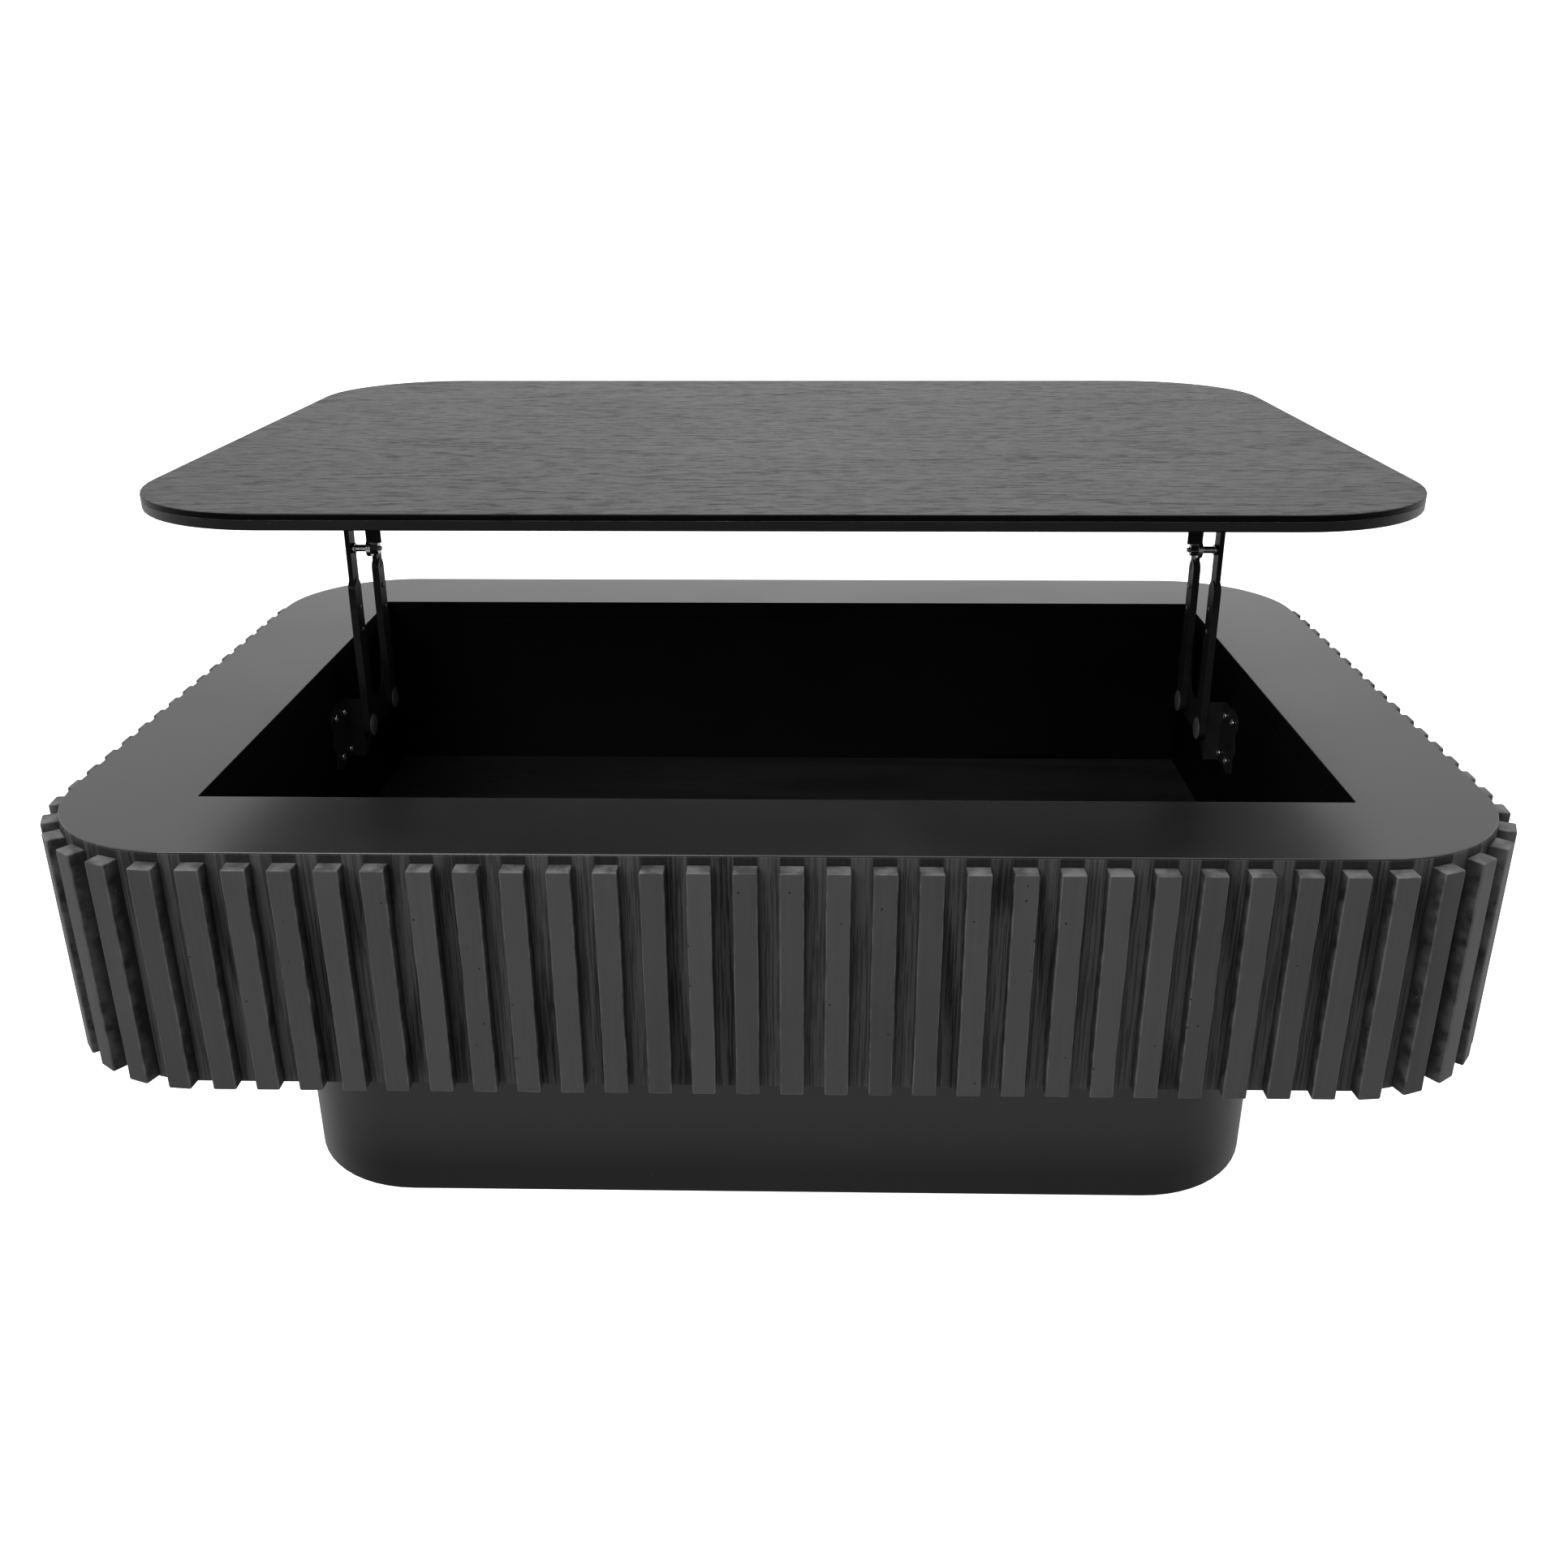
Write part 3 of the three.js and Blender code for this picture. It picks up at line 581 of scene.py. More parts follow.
def slat_stain():
    """Smooth stained slats. Each has its own tone, stored on its points. The wear and
    highlight mask lightens the ends, where the stain is worn thin, and the corners, as a
    painted highlight along the arris, broken up by noise, and pinholes dot the faces. The
    sides are darker, as painted shade between the slats, and have pale drips."""
    material, tree, shader, place = start_finish("slat_stain", 0.5)
    tone = add_node(tree, "ShaderNodeAttribute", attribute_name="slat_tone").outputs["Fac"]
    wear_and_highlight = add_node(tree, "ShaderNodeAttribute", attribute_name="wear_and_highlight").outputs["Fac"]
    upright = add_node(tree, "ShaderNodeVectorMath", {0: place, 1: (210.0, 210.0, 7.0)},
                       operation="MULTIPLY")
    streak = add_node(tree, "ShaderNodeTexNoise", {
        "Vector": upright.outputs[0], "Scale": 1.0, "Detail": 3.0, "Roughness": 0.6})
    marks = use_group(tree, HANDLING, {"Vector": place, "Scale": 9.0})
    holes = use_group(tree, SPECKS, {
        "Vector": place, "Scale": 130.0, "Size": 0.11, "Share": 0.1})
    shade = sum_of(tree, streak.outputs["Fac"], 0.45, marks.outputs["Cloud"], 0.2)
    mixed = sum_of(tree, shade, 1.0, tone, 0.5)
    face = mix_tones(tree, mixed, *map(grey, SLAT_FACE))
    # Painted shade: the side faces take darker greys that stand in for the shade between
    # neighbouring slats.
    side = add_node(tree, "ShaderNodeAttribute", attribute_name="slat_side").outputs["Fac"]
    shaded = span(tree, marks.outputs["Cloud"], 0.0, 1.0, -2.0, 1.6)
    dark = mix_tones(tree, shaded, *map(grey, SLAT_SIDE_SHADE))
    base = mix_tones(tree, side, face, dark)
    drips = use_group(tree, SPECKS, {
        "Vector": place, "Scale": 210.0, "Size": 0.13, "Share": 0.05})
    dripped = add_product(tree, drips.outputs["Dot"], side)
    # Pale ends are wear; pale corners are a painted highlight along the arris.
    patchy = add_node(tree, "ShaderNodeTexNoise", {"Vector": place, "Scale": 70.0, "Detail": 3.0})
    broken = span(tree, patchy.outputs["Fac"], 0.0, 1.0, 0.36, 0.62)
    wear_and_highlight_share = add_product(tree, wear_and_highlight, broken)
    with_wear_and_highlight = mix_tones(tree, wear_and_highlight_share, base, grey(WEAR_AND_HIGHLIGHT_TONE))
    pitted = mix_tones(tree, holes.outputs["Dot"], with_wear_and_highlight, grey(PINHOLE_TONE))
    tree.links.new(mix_tones(tree, dripped, pitted, grey(DRIP_TONE)),
                   shader.inputs["Base Color"])
    tree.links.new(span(tree, mixed, 0.58, 0.42), shader.inputs["Roughness"])
    height = sum_of(tree, streak.outputs["Fac"], 0.5, holes.outputs["Dot"], -1.0)
    add_bump(tree, shader, height, 0.00018)
    return material


SLAT_STAIN = slat_stain()


# %% Metals, plastic and raw board
def smooth_coat(name, tone, rough, pitting, metal=0.0, spec=0.5):
    """A thin even coat on steel, or moulded plastic: fine pits, and soft marks in the tone
    and the gloss."""
    material, tree, shader, place = start_finish(name, rough, spec, metal)
    marks = use_group(tree, HANDLING, {"Vector": place, "Scale": 60.0})
    pits = add_node(tree, "ShaderNodeTexNoise", {"Vector": place, "Scale": pitting, "Detail": 2.0})
    tree.links.new(mix_tones(tree, marks.outputs["Cloud"], grey(tone * 0.8), grey(tone * 1.15)),
                   shader.inputs["Base Color"])
    tree.links.new(span(tree, marks.outputs["Cloud"], rough * 0.8, rough * 1.3),
                   shader.inputs["Roughness"])
    add_bump(tree, shader, pits.outputs["Fac"], 0.00004)
    return material


BLACK_STEEL = smooth_coat("black_steel", tone=0.016, rough=0.34, pitting=900.0, spec=0.07)
RIVET_STEEL = smooth_coat("rivet_steel", tone=0.11, rough=0.3, pitting=900.0, metal=0.2)
ZINC_STEEL = smooth_coat("zinc_steel", tone=0.6, rough=0.24, pitting=1400.0, metal=1.0)
GLIDE_PLASTIC = smooth_coat("glide_plastic", tone=0.02, rough=0.55, pitting=600.0)
RAW_BOARD = veneer(
    "raw_board", rings=(4.0, 0.7, 4.0), pores=(300.0, 12.0, 300.0), waviness=1.0,
    tones=(0.09, 0.13, 0.19), rough=(0.85, 0.75), depth=0.0002)
print("finishes:", sorted(m.name for m in bpy.data.materials if m.use_nodes and m.users))

# %% [markdown]
# ## Sizes read from the frame
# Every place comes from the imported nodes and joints, so a change to the design moves the
# surfaces with it. Only the corner radii and the slat sizes are restated here.

# %% Sizes
DRUM_RADIUS = 0.127
PLINTH_RADIUS = 0.116
PLINTH_WALL = 0.015
TOP_RADIUS = 0.147
SLAT_COUNT = 106
SLAT_WIDTH = 0.0187
SLAT_PROUD = 0.014
PANEL_THICKNESS = 0.015
TOUCH = 0.0003

deck_low, deck_high = (np.array(c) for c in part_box("deck_frame"))
top_low, top_high = (np.array(c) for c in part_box("lift_top"))
plinth_low, plinth_high = (np.array(c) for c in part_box("plinth_shell"))
panel_low, panel_high = (np.array(c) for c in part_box("slat_panel_front"))
well_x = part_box("well_wall_right")[0].x
well_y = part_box("well_wall_back")[0].y
deck_size = deck_high - deck_low
drum_size = deck_size + np.array([2 * TOUCH, 2 * TOUCH, 0])
joints = {joint["name"]: joint for joint in frame["joints"]}
print("deck", deck_size.round(4), "well", round(2 * well_x, 4), "by", round(2 * well_y, 4))

# %% [markdown]
# ## The top
# The real top is one veneered board with a lacquered edge. A single closed stack of loops
# gives the board and its softened arrises. The edge and the underside are lacquered, with
# a darker band above a fine seam, so their faces are given finishes of their own.

# %% Lift top
ARRIS = 0.0016
BAND_HEIGHT = 0.0058
FACING_UP = 0.6
SEAM_INSETS = np.array([0.0, 0.0004, 0.0])
SEAM_HEIGHTS = np.array([-0.0003, 0.0, 0.0003])


def finish_faces(piece, finish, chosen):
    """Adds a finish to a piece and gives it to the chosen faces. The others keep theirs."""
    index = np.zeros(len(piece.data.polygons), np.int32)
    piece.data.polygons.foreach_get("material_index", index)
    index[chosen] = len(piece.data.materials)
    piece.data.materials.append(finish)
    piece.data.polygons.foreach_set("material_index", index)


def face_fields(piece):
    """The middle and the outward direction of every face, as two arrays."""
    count = len(piece.data.polygons)
    middle, outward = np.zeros(count * 3, np.float32), np.zeros(count * 3, np.float32)
    piece.data.polygons.foreach_get("center", middle)
    piece.data.polygons.foreach_get("normal", outward)
    return middle.reshape(-1, 3), outward.reshape(-1, 3)


def make_top():
    """The board's outline carried up its rounded edge, centred over the raised place."""
    size = top_high - top_low
    insets, heights = rounded_edge(top_low[2], top_high[2], ARRIS)
    half = len(heights) // 2
    seam = top_high[2] - BAND_HEIGHT
    insets = np.insert(insets, half, SEAM_INSETS)
    heights = np.insert(heights, half, seam + SEAM_HEIGHTS)
    loops = board_loops(size[0], size[1], TOP_RADIUS, insets, heights)
    loops[..., :2] += (top_low[:2] + top_high[:2]) / 2
    rows, columns = loops.shape[:2]
    top = add_piece("table_top", loops, stack_faces(rows, columns), TOP_VENEER, "top",
                    ["lift_top"])
    middle, outward = face_fields(top)
    edge = outward[:, 2] < FACING_UP
    finish_faces(top, EDGE_LACQUER, edge)
    finish_faces(top, BAND_LACQUER, edge & (middle[:, 2] > seam))
    print("top", size.round(4))


make_top()

# %% [markdown]
# ## The deck
# The deck is a frame: a rounded outline outside and a square opening inside. If both
# outlines have the same number of points in the same order, one ring of loops runs over
# the outside edge, across the top, down into the well and back underneath. The panels'
# veneer runs up over the deck's edge to a thin rim, so the edge has a shallow rebate.

# %% Deck frame
RIM = 0.0012
REBATE = 0.0012
OUTER_ARRIS = 0.0009
INNER_ARRIS = 0.0006
INNER_CORNER = 0.0012
ARRIS_STEPS = 3
CLOSE = 1e-4


def make_deck():
    """Loops from the outer edge to the inner edge and back below, closed in both ways."""
    low, high = deck_low[2], deck_high[2]
    rim_inset, rim_height = rounded_edge(low, high, OUTER_ARRIS, ARRIS_STEPS)
    upper = slice(ARRIS_STEPS + 1, None)
    out_inset = np.concatenate([[REBATE, REBATE, 0.0], rim_inset[upper]])
    out_height = np.concatenate([[low, high - RIM, high - RIM], rim_height[upper]])
    in_inset, in_height = rounded_edge(low, high, INNER_ARRIS, ARRIS_STEPS)
    outer = board_loops(deck_size[0], deck_size[1], DRUM_RADIUS, out_inset, out_height)
    inner = board_loops(2 * well_x, 2 * well_y, INNER_CORNER, -in_inset[::-1],
                        in_height[::-1])
    loops = np.concatenate([outer, inner])
    rows, columns = loops.shape[:2]
    deck = add_piece("deck", loops, quads(rows, columns, ring=True).tolist(), DECK_LACQUER,
                     "cabinet", ["deck_frame"])
    middle, outward = face_fields(deck)
    inside = (np.abs(middle[:, 0]) < well_x + CLOSE) & (np.abs(middle[:, 1]) < well_y + CLOSE)
    finish_faces(deck, WELL_PAINT, inside & (outward[:, 2] < FACING_UP))


make_deck()

# %% [markdown]
# ## The drum's side
# The side is bent board in eight lengths with slats glued on at an even pitch all the way
# round. Both follow the same path, so one function says where the path is at a distance
# along it and which way is out. The panels carry a closed section along that path. The
# slats are placed on it all at once. The panel is darker in the patch above each slat.

# %% The path round the drum
flat_x = drum_size[0] / 2 - DRUM_RADIUS
flat_y = drum_size[1] / 2 - DRUM_RADIUS
round_length = DRUM_RADIUS * math.pi / 2
lengths = np.array([flat_x, round_length, 2 * flat_y, round_length, 2 * flat_x,
                    round_length, 2 * flat_y, round_length, flat_x])
path_total = lengths.sum()
slat_pitch = path_total / SLAT_COUNT
stretch_x = np.array([0, flat_x, flat_x, flat_x, flat_x, -flat_x, -flat_x, -flat_x, -flat_x])
stretch_y = np.array([-flat_y, -flat_y, -flat_y, flat_y, flat_y, flat_y, flat_y, -flat_y, -flat_y])
stretch_out = np.array([-90, -90, 0, 0, 90, 90, 180, 180, 270])
stretch_round = np.array([0, 1, 0, 1, 0, 1, 0, 1, 0])
print("path", round(path_total, 4), "pitch", round(slat_pitch, 5))


def drum_path(distance):
    """Points and outward directions at distances along the drum from the middle of its
    front. On a round stretch the direction turns by 90 degrees times the share travelled.
    On a flat one the point slides along instead. Either way the point is the stretch's
    centre plus the radius times the direction."""
    s = np.mod(distance, path_total)
    ends = np.cumsum(lengths)
    k = np.minimum(np.searchsorted(ends, s, side="right"), len(lengths) - 1)
    travelled = s - (ends[k] - lengths[k])
    turn = np.radians(stretch_out[k] + stretch_round[k] * 90 * travelled / lengths[k])
    out = np.stack([np.cos(turn), np.sin(turn)], -1)
    along = np.stack([-out[:, 1], out[:, 0]], -1)
    slide = np.where(stretch_round[k] == 1, 0, travelled)[:, None]
    centre = np.stack([stretch_x[k], stretch_y[k]], -1)
    return centre + DRUM_RADIUS * out + slide * along, out


# %% Panels
PANEL_STEP = 0.008
PANEL_LEAST_STEPS = 8
PANEL_SOFT = 0.0004
FRONT_SLATS = 26
seam = FRONT_SLATS / 2 * slat_pitch
side_start = flat_x + round_length
panel_spans = {
    "front": (-seam, seam),
    "front_right": (seam, side_start),
    "right": (side_start, side_start + 2 * flat_y),
    "back_right": (side_start + 2 * flat_y, path_total / 2 - seam),
    "back": (path_total / 2 - seam, path_total / 2 + seam),
    "back_left": (path_total / 2 + seam, path_total - side_start - 2 * flat_y),
    "left": (path_total - side_start - 2 * flat_y, path_total - side_start),
    "front_left": (path_total - side_start, path_total - seam),
}


def make_panel(name, start, end):
    """A thin upright section carried along the drum's path, thinner still where its veneer
    covers the deck's edge. Each point is the path point plus outward times the section's
    offset, at the section's height."""
    steps = max(PANEL_LEAST_STEPS, round((end - start) / PANEL_STEP))
    distance = np.linspace(start + TOUCH / 2, end - TOUCH / 2, steps + 1)
    at, out = drum_path(distance)
    soft = PANEL_SOFT
    low, high, depth = panel_low[2], deck_low[2] - TOUCH, PANEL_THICKNESS
    skin, top = REBATE - TOUCH, deck_high[2] - RIM - TOUCH
    section = np.array([[-soft, top], [0, top - soft], [0, low + soft], [-soft, low],
                        [-depth, low], [-depth, high], [-skin, high], [-skin, top]])
    flat = at[:, None] + out[:, None] * section[None, :, :1]
    height = np.broadcast_to(section[None, :, 1:], flat.shape[:2] + (1,))
    points = np.concatenate([flat, height], -1)
    panel = add_piece(f"panel_{name}", points, stack_faces(len(distance), len(section)),
                      PANEL_VENEER, "cabinet", [f"slat_panel_{name}"])
    along = np.broadcast_to(distance[:, None, None], height.shape)
    paint_points(panel, "grain_at",
                 np.concatenate([along, height, flat[..., :1] * 0.0], -1).reshape(-1, 3))


PATCH_TONE = 0.006
PATCH_BLUR = 0.02
PATCH_START = (-0.0015, -0.0005)


def shade_over_slats(material, slat_top):
    """Darkens the panel in the patch above each slat's top. With s the distance along the
    drum, the patch is where |fract(s / pitch) - 0.5| is under half a slat's share of the
    pitch and the point is higher than the slat."""
    tree = material.node_tree
    shader = next(n for n in tree.nodes if n.type == "BSDF_PRINCIPLED")
    place = add_node(tree, "ShaderNodeAttribute", attribute_name="grain_at").outputs["Vector"]
    parts = add_node(tree, "ShaderNodeSeparateXYZ", {0: place})
    turns = add_node(tree, "ShaderNodeMath", {0: parts.outputs["X"], 1: slat_pitch},
                     operation="DIVIDE")
    share = add_node(tree, "ShaderNodeMath", {0: turns.outputs[0]}, operation="FRACT")
    away = add_node(tree, "ShaderNodeMath", {0: share.outputs[0], 1: 0.5},
                    operation="SUBTRACT")
    apart = add_node(tree, "ShaderNodeMath", {0: away.outputs[0]}, operation="ABSOLUTE")
    half = SLAT_WIDTH / 2 / slat_pitch
    across = span(tree, apart.outputs[0], 1.0, 0.0, half - PATCH_BLUR, half + PATCH_BLUR)
    start, end = (slat_top + offset for offset in PATCH_START)
    above = span(tree, parts.outputs["Y"], 0.0, 1.0, start, end)
    base = shader.inputs["Base Color"].links[0].from_socket
    patch = mix_tones(tree, add_product(tree, across, above), base, grey(PATCH_TONE))
    tree.links.new(patch, shader.inputs["Base Color"])


for panel_name, (span_start, span_end) in panel_spans.items():
    make_panel(panel_name, span_start, span_end)
shade_over_slats(PANEL_VENEER, panel_high[2])
print("panels:", len(panel_spans))

# %% Slats
SLAT_ROUND = 0.0013
SLAT_LIFT = 0.0013
SLAT_BACK = -0.0002
SLAT_RUNS = 8
END_HEIGHTS = np.array([0.0, 0.0004, 0.0013])
END_DRAWS = np.array([0.0010, 0.0003, 0.0])
END_LENGTH = 0.012
SWAY_PACE = np.array([31.0, 57.0, 103.0])
SWAY = 0.00012
# Strength of the painted highlight along the slats' corners.
CORNER_HIGHLIGHT = 0.5
SLAT_SIDE_FACES = 3
slat_low = panel_low[2] + SLAT_LIFT
slat_high = panel_high[2]


def slat_section():
    """A slat seen from above: across and out. Its two front corners are quarter rounds."""
    turn = np.radians([0, 30, 60, 90])
    half, r = SLAT_WIDTH / 2, SLAT_ROUND
    right = np.stack([half - r + r * np.sin(turn), SLAT_PROUD - r + r * np.cos(turn)], -1)
    left = right[::-1] * [-1, 1]
    back = np.array([[half, SLAT_BACK], [-half, SLAT_BACK]])
    return np.concatenate([left, right, back])


def make_slats(name, start, end, rng):
    """All the slats of one panel in one mesh. A slat is its section carried straight up;
    the ends draw in for their arris. Each side's edge wanders by a sum of three sines of
    the height, each with a phase of its own, as it does in wood planed by hand."""
    index = np.arange(math.ceil(start / slat_pitch - 0.5), math.floor(end / slat_pitch - 0.5) + 1)
    at, out = drum_path((index + 0.5) * slat_pitch)
    along = np.stack([-out[:, 1], out[:, 0]], -1)
    section = slat_section()
    middle = np.linspace(slat_low + END_LENGTH, slat_high - END_LENGTH, SLAT_RUNS)
    height = np.concatenate([slat_low + END_HEIGHTS, middle, slat_high - END_HEIGHTS[::-1]])
    draw = np.concatenate([END_DRAWS, np.zeros(SLAT_RUNS), END_DRAWS[::-1]])
    phase = rng.uniform(0, 2 * math.pi, (len(index), 2, len(SWAY_PACE)))
    waves = np.sin(height[None, None, :, None] * SWAY_PACE + phase[:, :, None])
    sway = waves.sum(-1) * SWAY
    centre = np.array([0, SLAT_PROUD / 2])
    half = np.array([SLAT_WIDTH / 2, SLAT_PROUD / 2])
    shrink = 1 - draw[:, None, None] / half
    shape = (section - centre) * shrink + centre
    shape = np.broadcast_to(shape, (len(index),) + shape.shape).copy()
    shape[..., 0] += np.where(section[:, 0] < 0, sway[:, 0, :, None], sway[:, 1, :, None])
    flat = (at[:, None, None] + along[:, None, None] * shape[..., :1]
            + out[:, None, None] * shape[..., 1:])
    lift = np.broadcast_to(height[None, :, None, None], flat.shape[:3] + (1,))
    points = np.concatenate([flat, lift], -1)
    slats = add_piece(f"slats_{name}", points,
                      stack_faces(len(height), len(section), len(index)), SLAT_STAIN,
                      "cabinet", [f"slat_panel_{name}"])
    tone = np.broadcast_to(rng.uniform(0, 1, len(index))[:, None, None], points.shape[:3])
    paint_points(slats, "slat_tone", tone)
    # Corners carry a painted highlight, the drawn-in ends carry wear.
    corner = (section[:, 1] > 0) & (section[:, 1] < SLAT_PROUD - 1e-6)
    wear_and_highlight = np.maximum(corner[None, :] * CORNER_HIGHLIGHT, (draw > 0)[:, None])
    paint_points(slats, "wear_and_highlight", np.broadcast_to(wear_and_highlight, points.shape[:3]))
    # Side faces are marked for the painted shade between slats.
    side = np.arange(len(section)) >= len(section) - SLAT_SIDE_FACES
    walls = np.tile(side, (len(height) - 1) * len(index))
    paint_faces(slats, "slat_side", np.concatenate([walls, np.zeros(2 * len(index), bool)]))
    return len(index)


SLAT_SEED = 11
slat_rng = np.random.default_rng(SLAT_SEED)
made = sum(make_slats(n, a, b, slat_rng) for n, (a, b) in panel_spans.items())
print("slats:", made)

# %% [markdown]
# ## The plinth and the well
# The plinth is a bent shell with soft arrises top and bottom. The well's walls and floor
# are flat boards already right in the frame, so they only need their finish, as do the
# boards and posts that are never seen.

# %% Plinth
PLINTH_ARRIS = 0.0025


def make_plinth():
    """Outer loops up the shell, then inner loops down it, closed into a ring."""
    size = plinth_high - plinth_low
    inset, height = rounded_edge(plinth_low[2], plinth_high[2], PLINTH_ARRIS)
    outer = board_loops(size[0], size[1], PLINTH_RADIUS, inset, height)
    wall = 2 * PLINTH_WALL
    inner = board_loops(size[0] - wall, size[1] - wall, PLINTH_RADIUS - PLINTH_WALL,
                        [0, 0], [plinth_high[2], plinth_low[2]])
    loops = np.concatenate([outer, inner])
    add_piece("plinth", loops, quads(*loops.shape[:2], ring=True).tolist(), PLINTH_LACQUER,
              "cabinet", ["plinth_shell"])


make_plinth()


# %% Boards that keep their shape
def refinish(start, finish):
    """Gives every CAD node whose name begins so its finish."""
    for node_name, node in frame["nodes"].items():
        if node_name.startswith(start):
            node.data.materials.clear()
            node.data.materials.append(finish)


refinish("well_wall_", WELL_PAINT)
refinish("well_floor", WELL_FLOOR)
refinish("deck_post_", RAW_BOARD)
refinish("plinth_top_board", RAW_BOARD)
refinish("plinth_bottom_board", RAW_BOARD)

# %% [markdown]
# ## Turned pieces
# Rivets, screws, studs and glides are turned: a profile of radius and height goes round an
# axis. A pan head screw also has a cross recess, which is pressed into the points of its
# head by a soft mask of two crossing slots.

# %% Turning
POLE = 0.0004


def turned_loops(profile, steps=28):
    """Loops round +Z: each point is radius times (cos, sin), at the profile's height."""
    profile = np.asarray(profile)
    turn = np.linspace(0, 2 * math.pi, steps, endpoint=False)
    flat = profile[:, None, :1] * np.stack([np.cos(turn), np.sin(turn)], -1)[None]
    height = np.broadcast_to(profile[:, None, 1:], flat.shape[:2] + (1,))
    return np.concatenate([flat, height], -1)


def dome(radius, low, high, steps=6):
    """A profile from a rim to near the top: radius times cos, height times sin."""
    turn = np.radians(np.linspace(0, 88, steps + 1))
    return np.stack([radius * np.cos(turn), low + (high - low) * np.sin(turn)], -1)


def lay_on_side(points, y, z, side):
    """Turns loops made round +Z so that their axis runs inwards from a well wall."""
    inwards = points[..., 2]
    across = side * (well_x - inwards)
    return np.stack([across, y + points[..., 0], z + points[..., 1]], -1)


def add_turned(name, points, finish, body, nodes, turned_over=False):
    """A turned piece is a stack of loops with a small flat at each pole."""
    rows, columns = points.shape[:2]
    add_piece(name, points, stack_faces(rows, columns), finish, body, nodes, turned_over)


def inwards_span(node):
    """Where a CAD node starts and ends, measured inwards from its own well wall."""
    low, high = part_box(node)
    return well_x - max(abs(low.x), abs(high.x)), well_x - min(abs(low.x), abs(high.x))


# %% Rivets
SIDES = {"left": -1, "right": 1}
RIVET_TAIL = 0.0055
RIVET_TAIL_HEIGHT = 0.0017
RIVET_SHANK = 0.004
RIVET_HEAD_HEIGHT = 0.0025


def rivet_profile(node):
    """The rivet's ends come from its CAD node: tail, shank and a low domed head."""
    low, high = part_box(node)
    tail, tip = inwards_span(node)
    head = (high.z - low.z) / 2
    under = tip - RIVET_HEAD_HEIGHT
    shoulder = tail + RIVET_TAIL_HEIGHT
    return [(POLE, tail), (RIVET_TAIL - 0.0008, tail), (RIVET_TAIL - 0.0001, tail + 0.0006),
            (RIVET_TAIL, shoulder), (RIVET_SHANK, shoulder + 0.00001), (RIVET_SHANK, under),
            (head - 0.0003, under), *dome(head, under + 0.0005, tip).tolist()]


def make_rivets():
    """Each rivet lies on the axis of its own CAD node."""
    names = [n for n in frame["nodes"] if n.endswith("_rivet")]
    for node in names:
        low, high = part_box(node)
        side = SIDES[node.split("_")[0]]
        points = lay_on_side(turned_loops(rivet_profile(node)), (low.y + high.y) / 2,
                             (low.z + high.z) / 2, side)
        body = "top" if "upper" in node else "cabinet"
        add_turned(f"rivet_{node[:-6]}", points, RIVET_STEEL, body, [node],
                   turned_over=side > 0)
    return len(names)


print("rivets:", make_rivets())


# %% Screws
SCREW_LENGTH = 0.0098
SCREW_HEAD = 0.0044
SCREW_HEAD_HEIGHT = 0.0024
SCREW_CORE = 0.0015
SCREW_THREAD = 0.0004
SCREW_TURNS = 13
SCREW_POINT = 0.003
RECESS_HALF = 0.0007
RECESS_REACH = 0.0027
RECESS_DEPTH = 0.0012


def screw_loops():
    """A wood screw standing on z = 0: a threaded shank below and a pan head above with a
    cross recess. The thread is a saw wave in the radius. The recess has its full depth
    where either slot's soft mask is one."""
    shank_z = np.linspace(-SCREW_LENGTH, -0.0003, 2 * SCREW_TURNS)
    crest = np.abs(np.mod(np.arange(2 * SCREW_TURNS), 2) - 1.0)
    taper = np.clip((shank_z + SCREW_LENGTH) / SCREW_POINT, 0.12, 1)
    shank = np.stack([(SCREW_CORE + SCREW_THREAD * crest) * taper, shank_z], -1)
    rim = [(SCREW_CORE + 0.0003, 0.0), (SCREW_HEAD - 0.0003, 0.0), (SCREW_HEAD, 0.0004)]
    crown = dome(SCREW_HEAD, 0.0007, SCREW_HEAD_HEIGHT, 12)
    points = turned_loops(np.concatenate([shank, rim, crown]), 32)
    x, y = points[..., 0], points[..., 1]
    slot_x = np.clip((RECESS_HALF - np.abs(x)) / 0.0003, 0, 1)
    slot_y = np.clip((RECESS_HALF - np.abs(y)) / 0.0003, 0, 1)
    reach = np.clip((RECESS_REACH - np.hypot(x, y)) / 0.0004, 0, 1)
    on_top = points[..., 2] > 0.0008
    points[..., 2] -= RECESS_DEPTH * np.maximum(slot_x, slot_y) * reach * on_top
    return points


def make_screws():
    """Plate screws lie across the well walls; rail screws point up into the top."""
    names = [n for n in frame["nodes"] if "_screw_" in n]
    for node in names:
        low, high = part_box(node)
        side = SIDES[node.split("_")[0]]
        middle = [(a + b) / 2 for a, b in zip(low, high)]
        loops = screw_loops()
        if "plate" in node:
            loops[..., 2] += inwards_span(node)[1] - SCREW_HEAD_HEIGHT
            points = lay_on_side(loops, middle[1], middle[2], side)
            add_turned(node.replace("_plate_", "_wall_"), points, ZINC_STEEL, "cabinet",
                       [node], turned_over=side > 0)
        else:
            points = np.stack([middle[0] + loops[..., 0], middle[1] - loops[..., 1],
                               low.z + SCREW_HEAD_HEIGHT - loops[..., 2]], -1)
            add_turned(node.replace("_rail_", "_top_"), points, ZINC_STEEL, "top",
                       [node])
    return len(names)


print("screws:", make_screws())


# %% Cross studs and glides
STUD_HEAD = 0.0045
STUD_SHANK = 0.003
STUD_COLLAR = 0.0055
STUD_SLEEVE = 0.0036
STUD_CORE = 0.0021
STUD_THREAD = 0.0004
STUD_THREAD_STEPS = 29
HEAD_END = 0.0032
COLLAR_START = 0.0054
COLLAR_END = 0.0084
THREADED = 0.0155


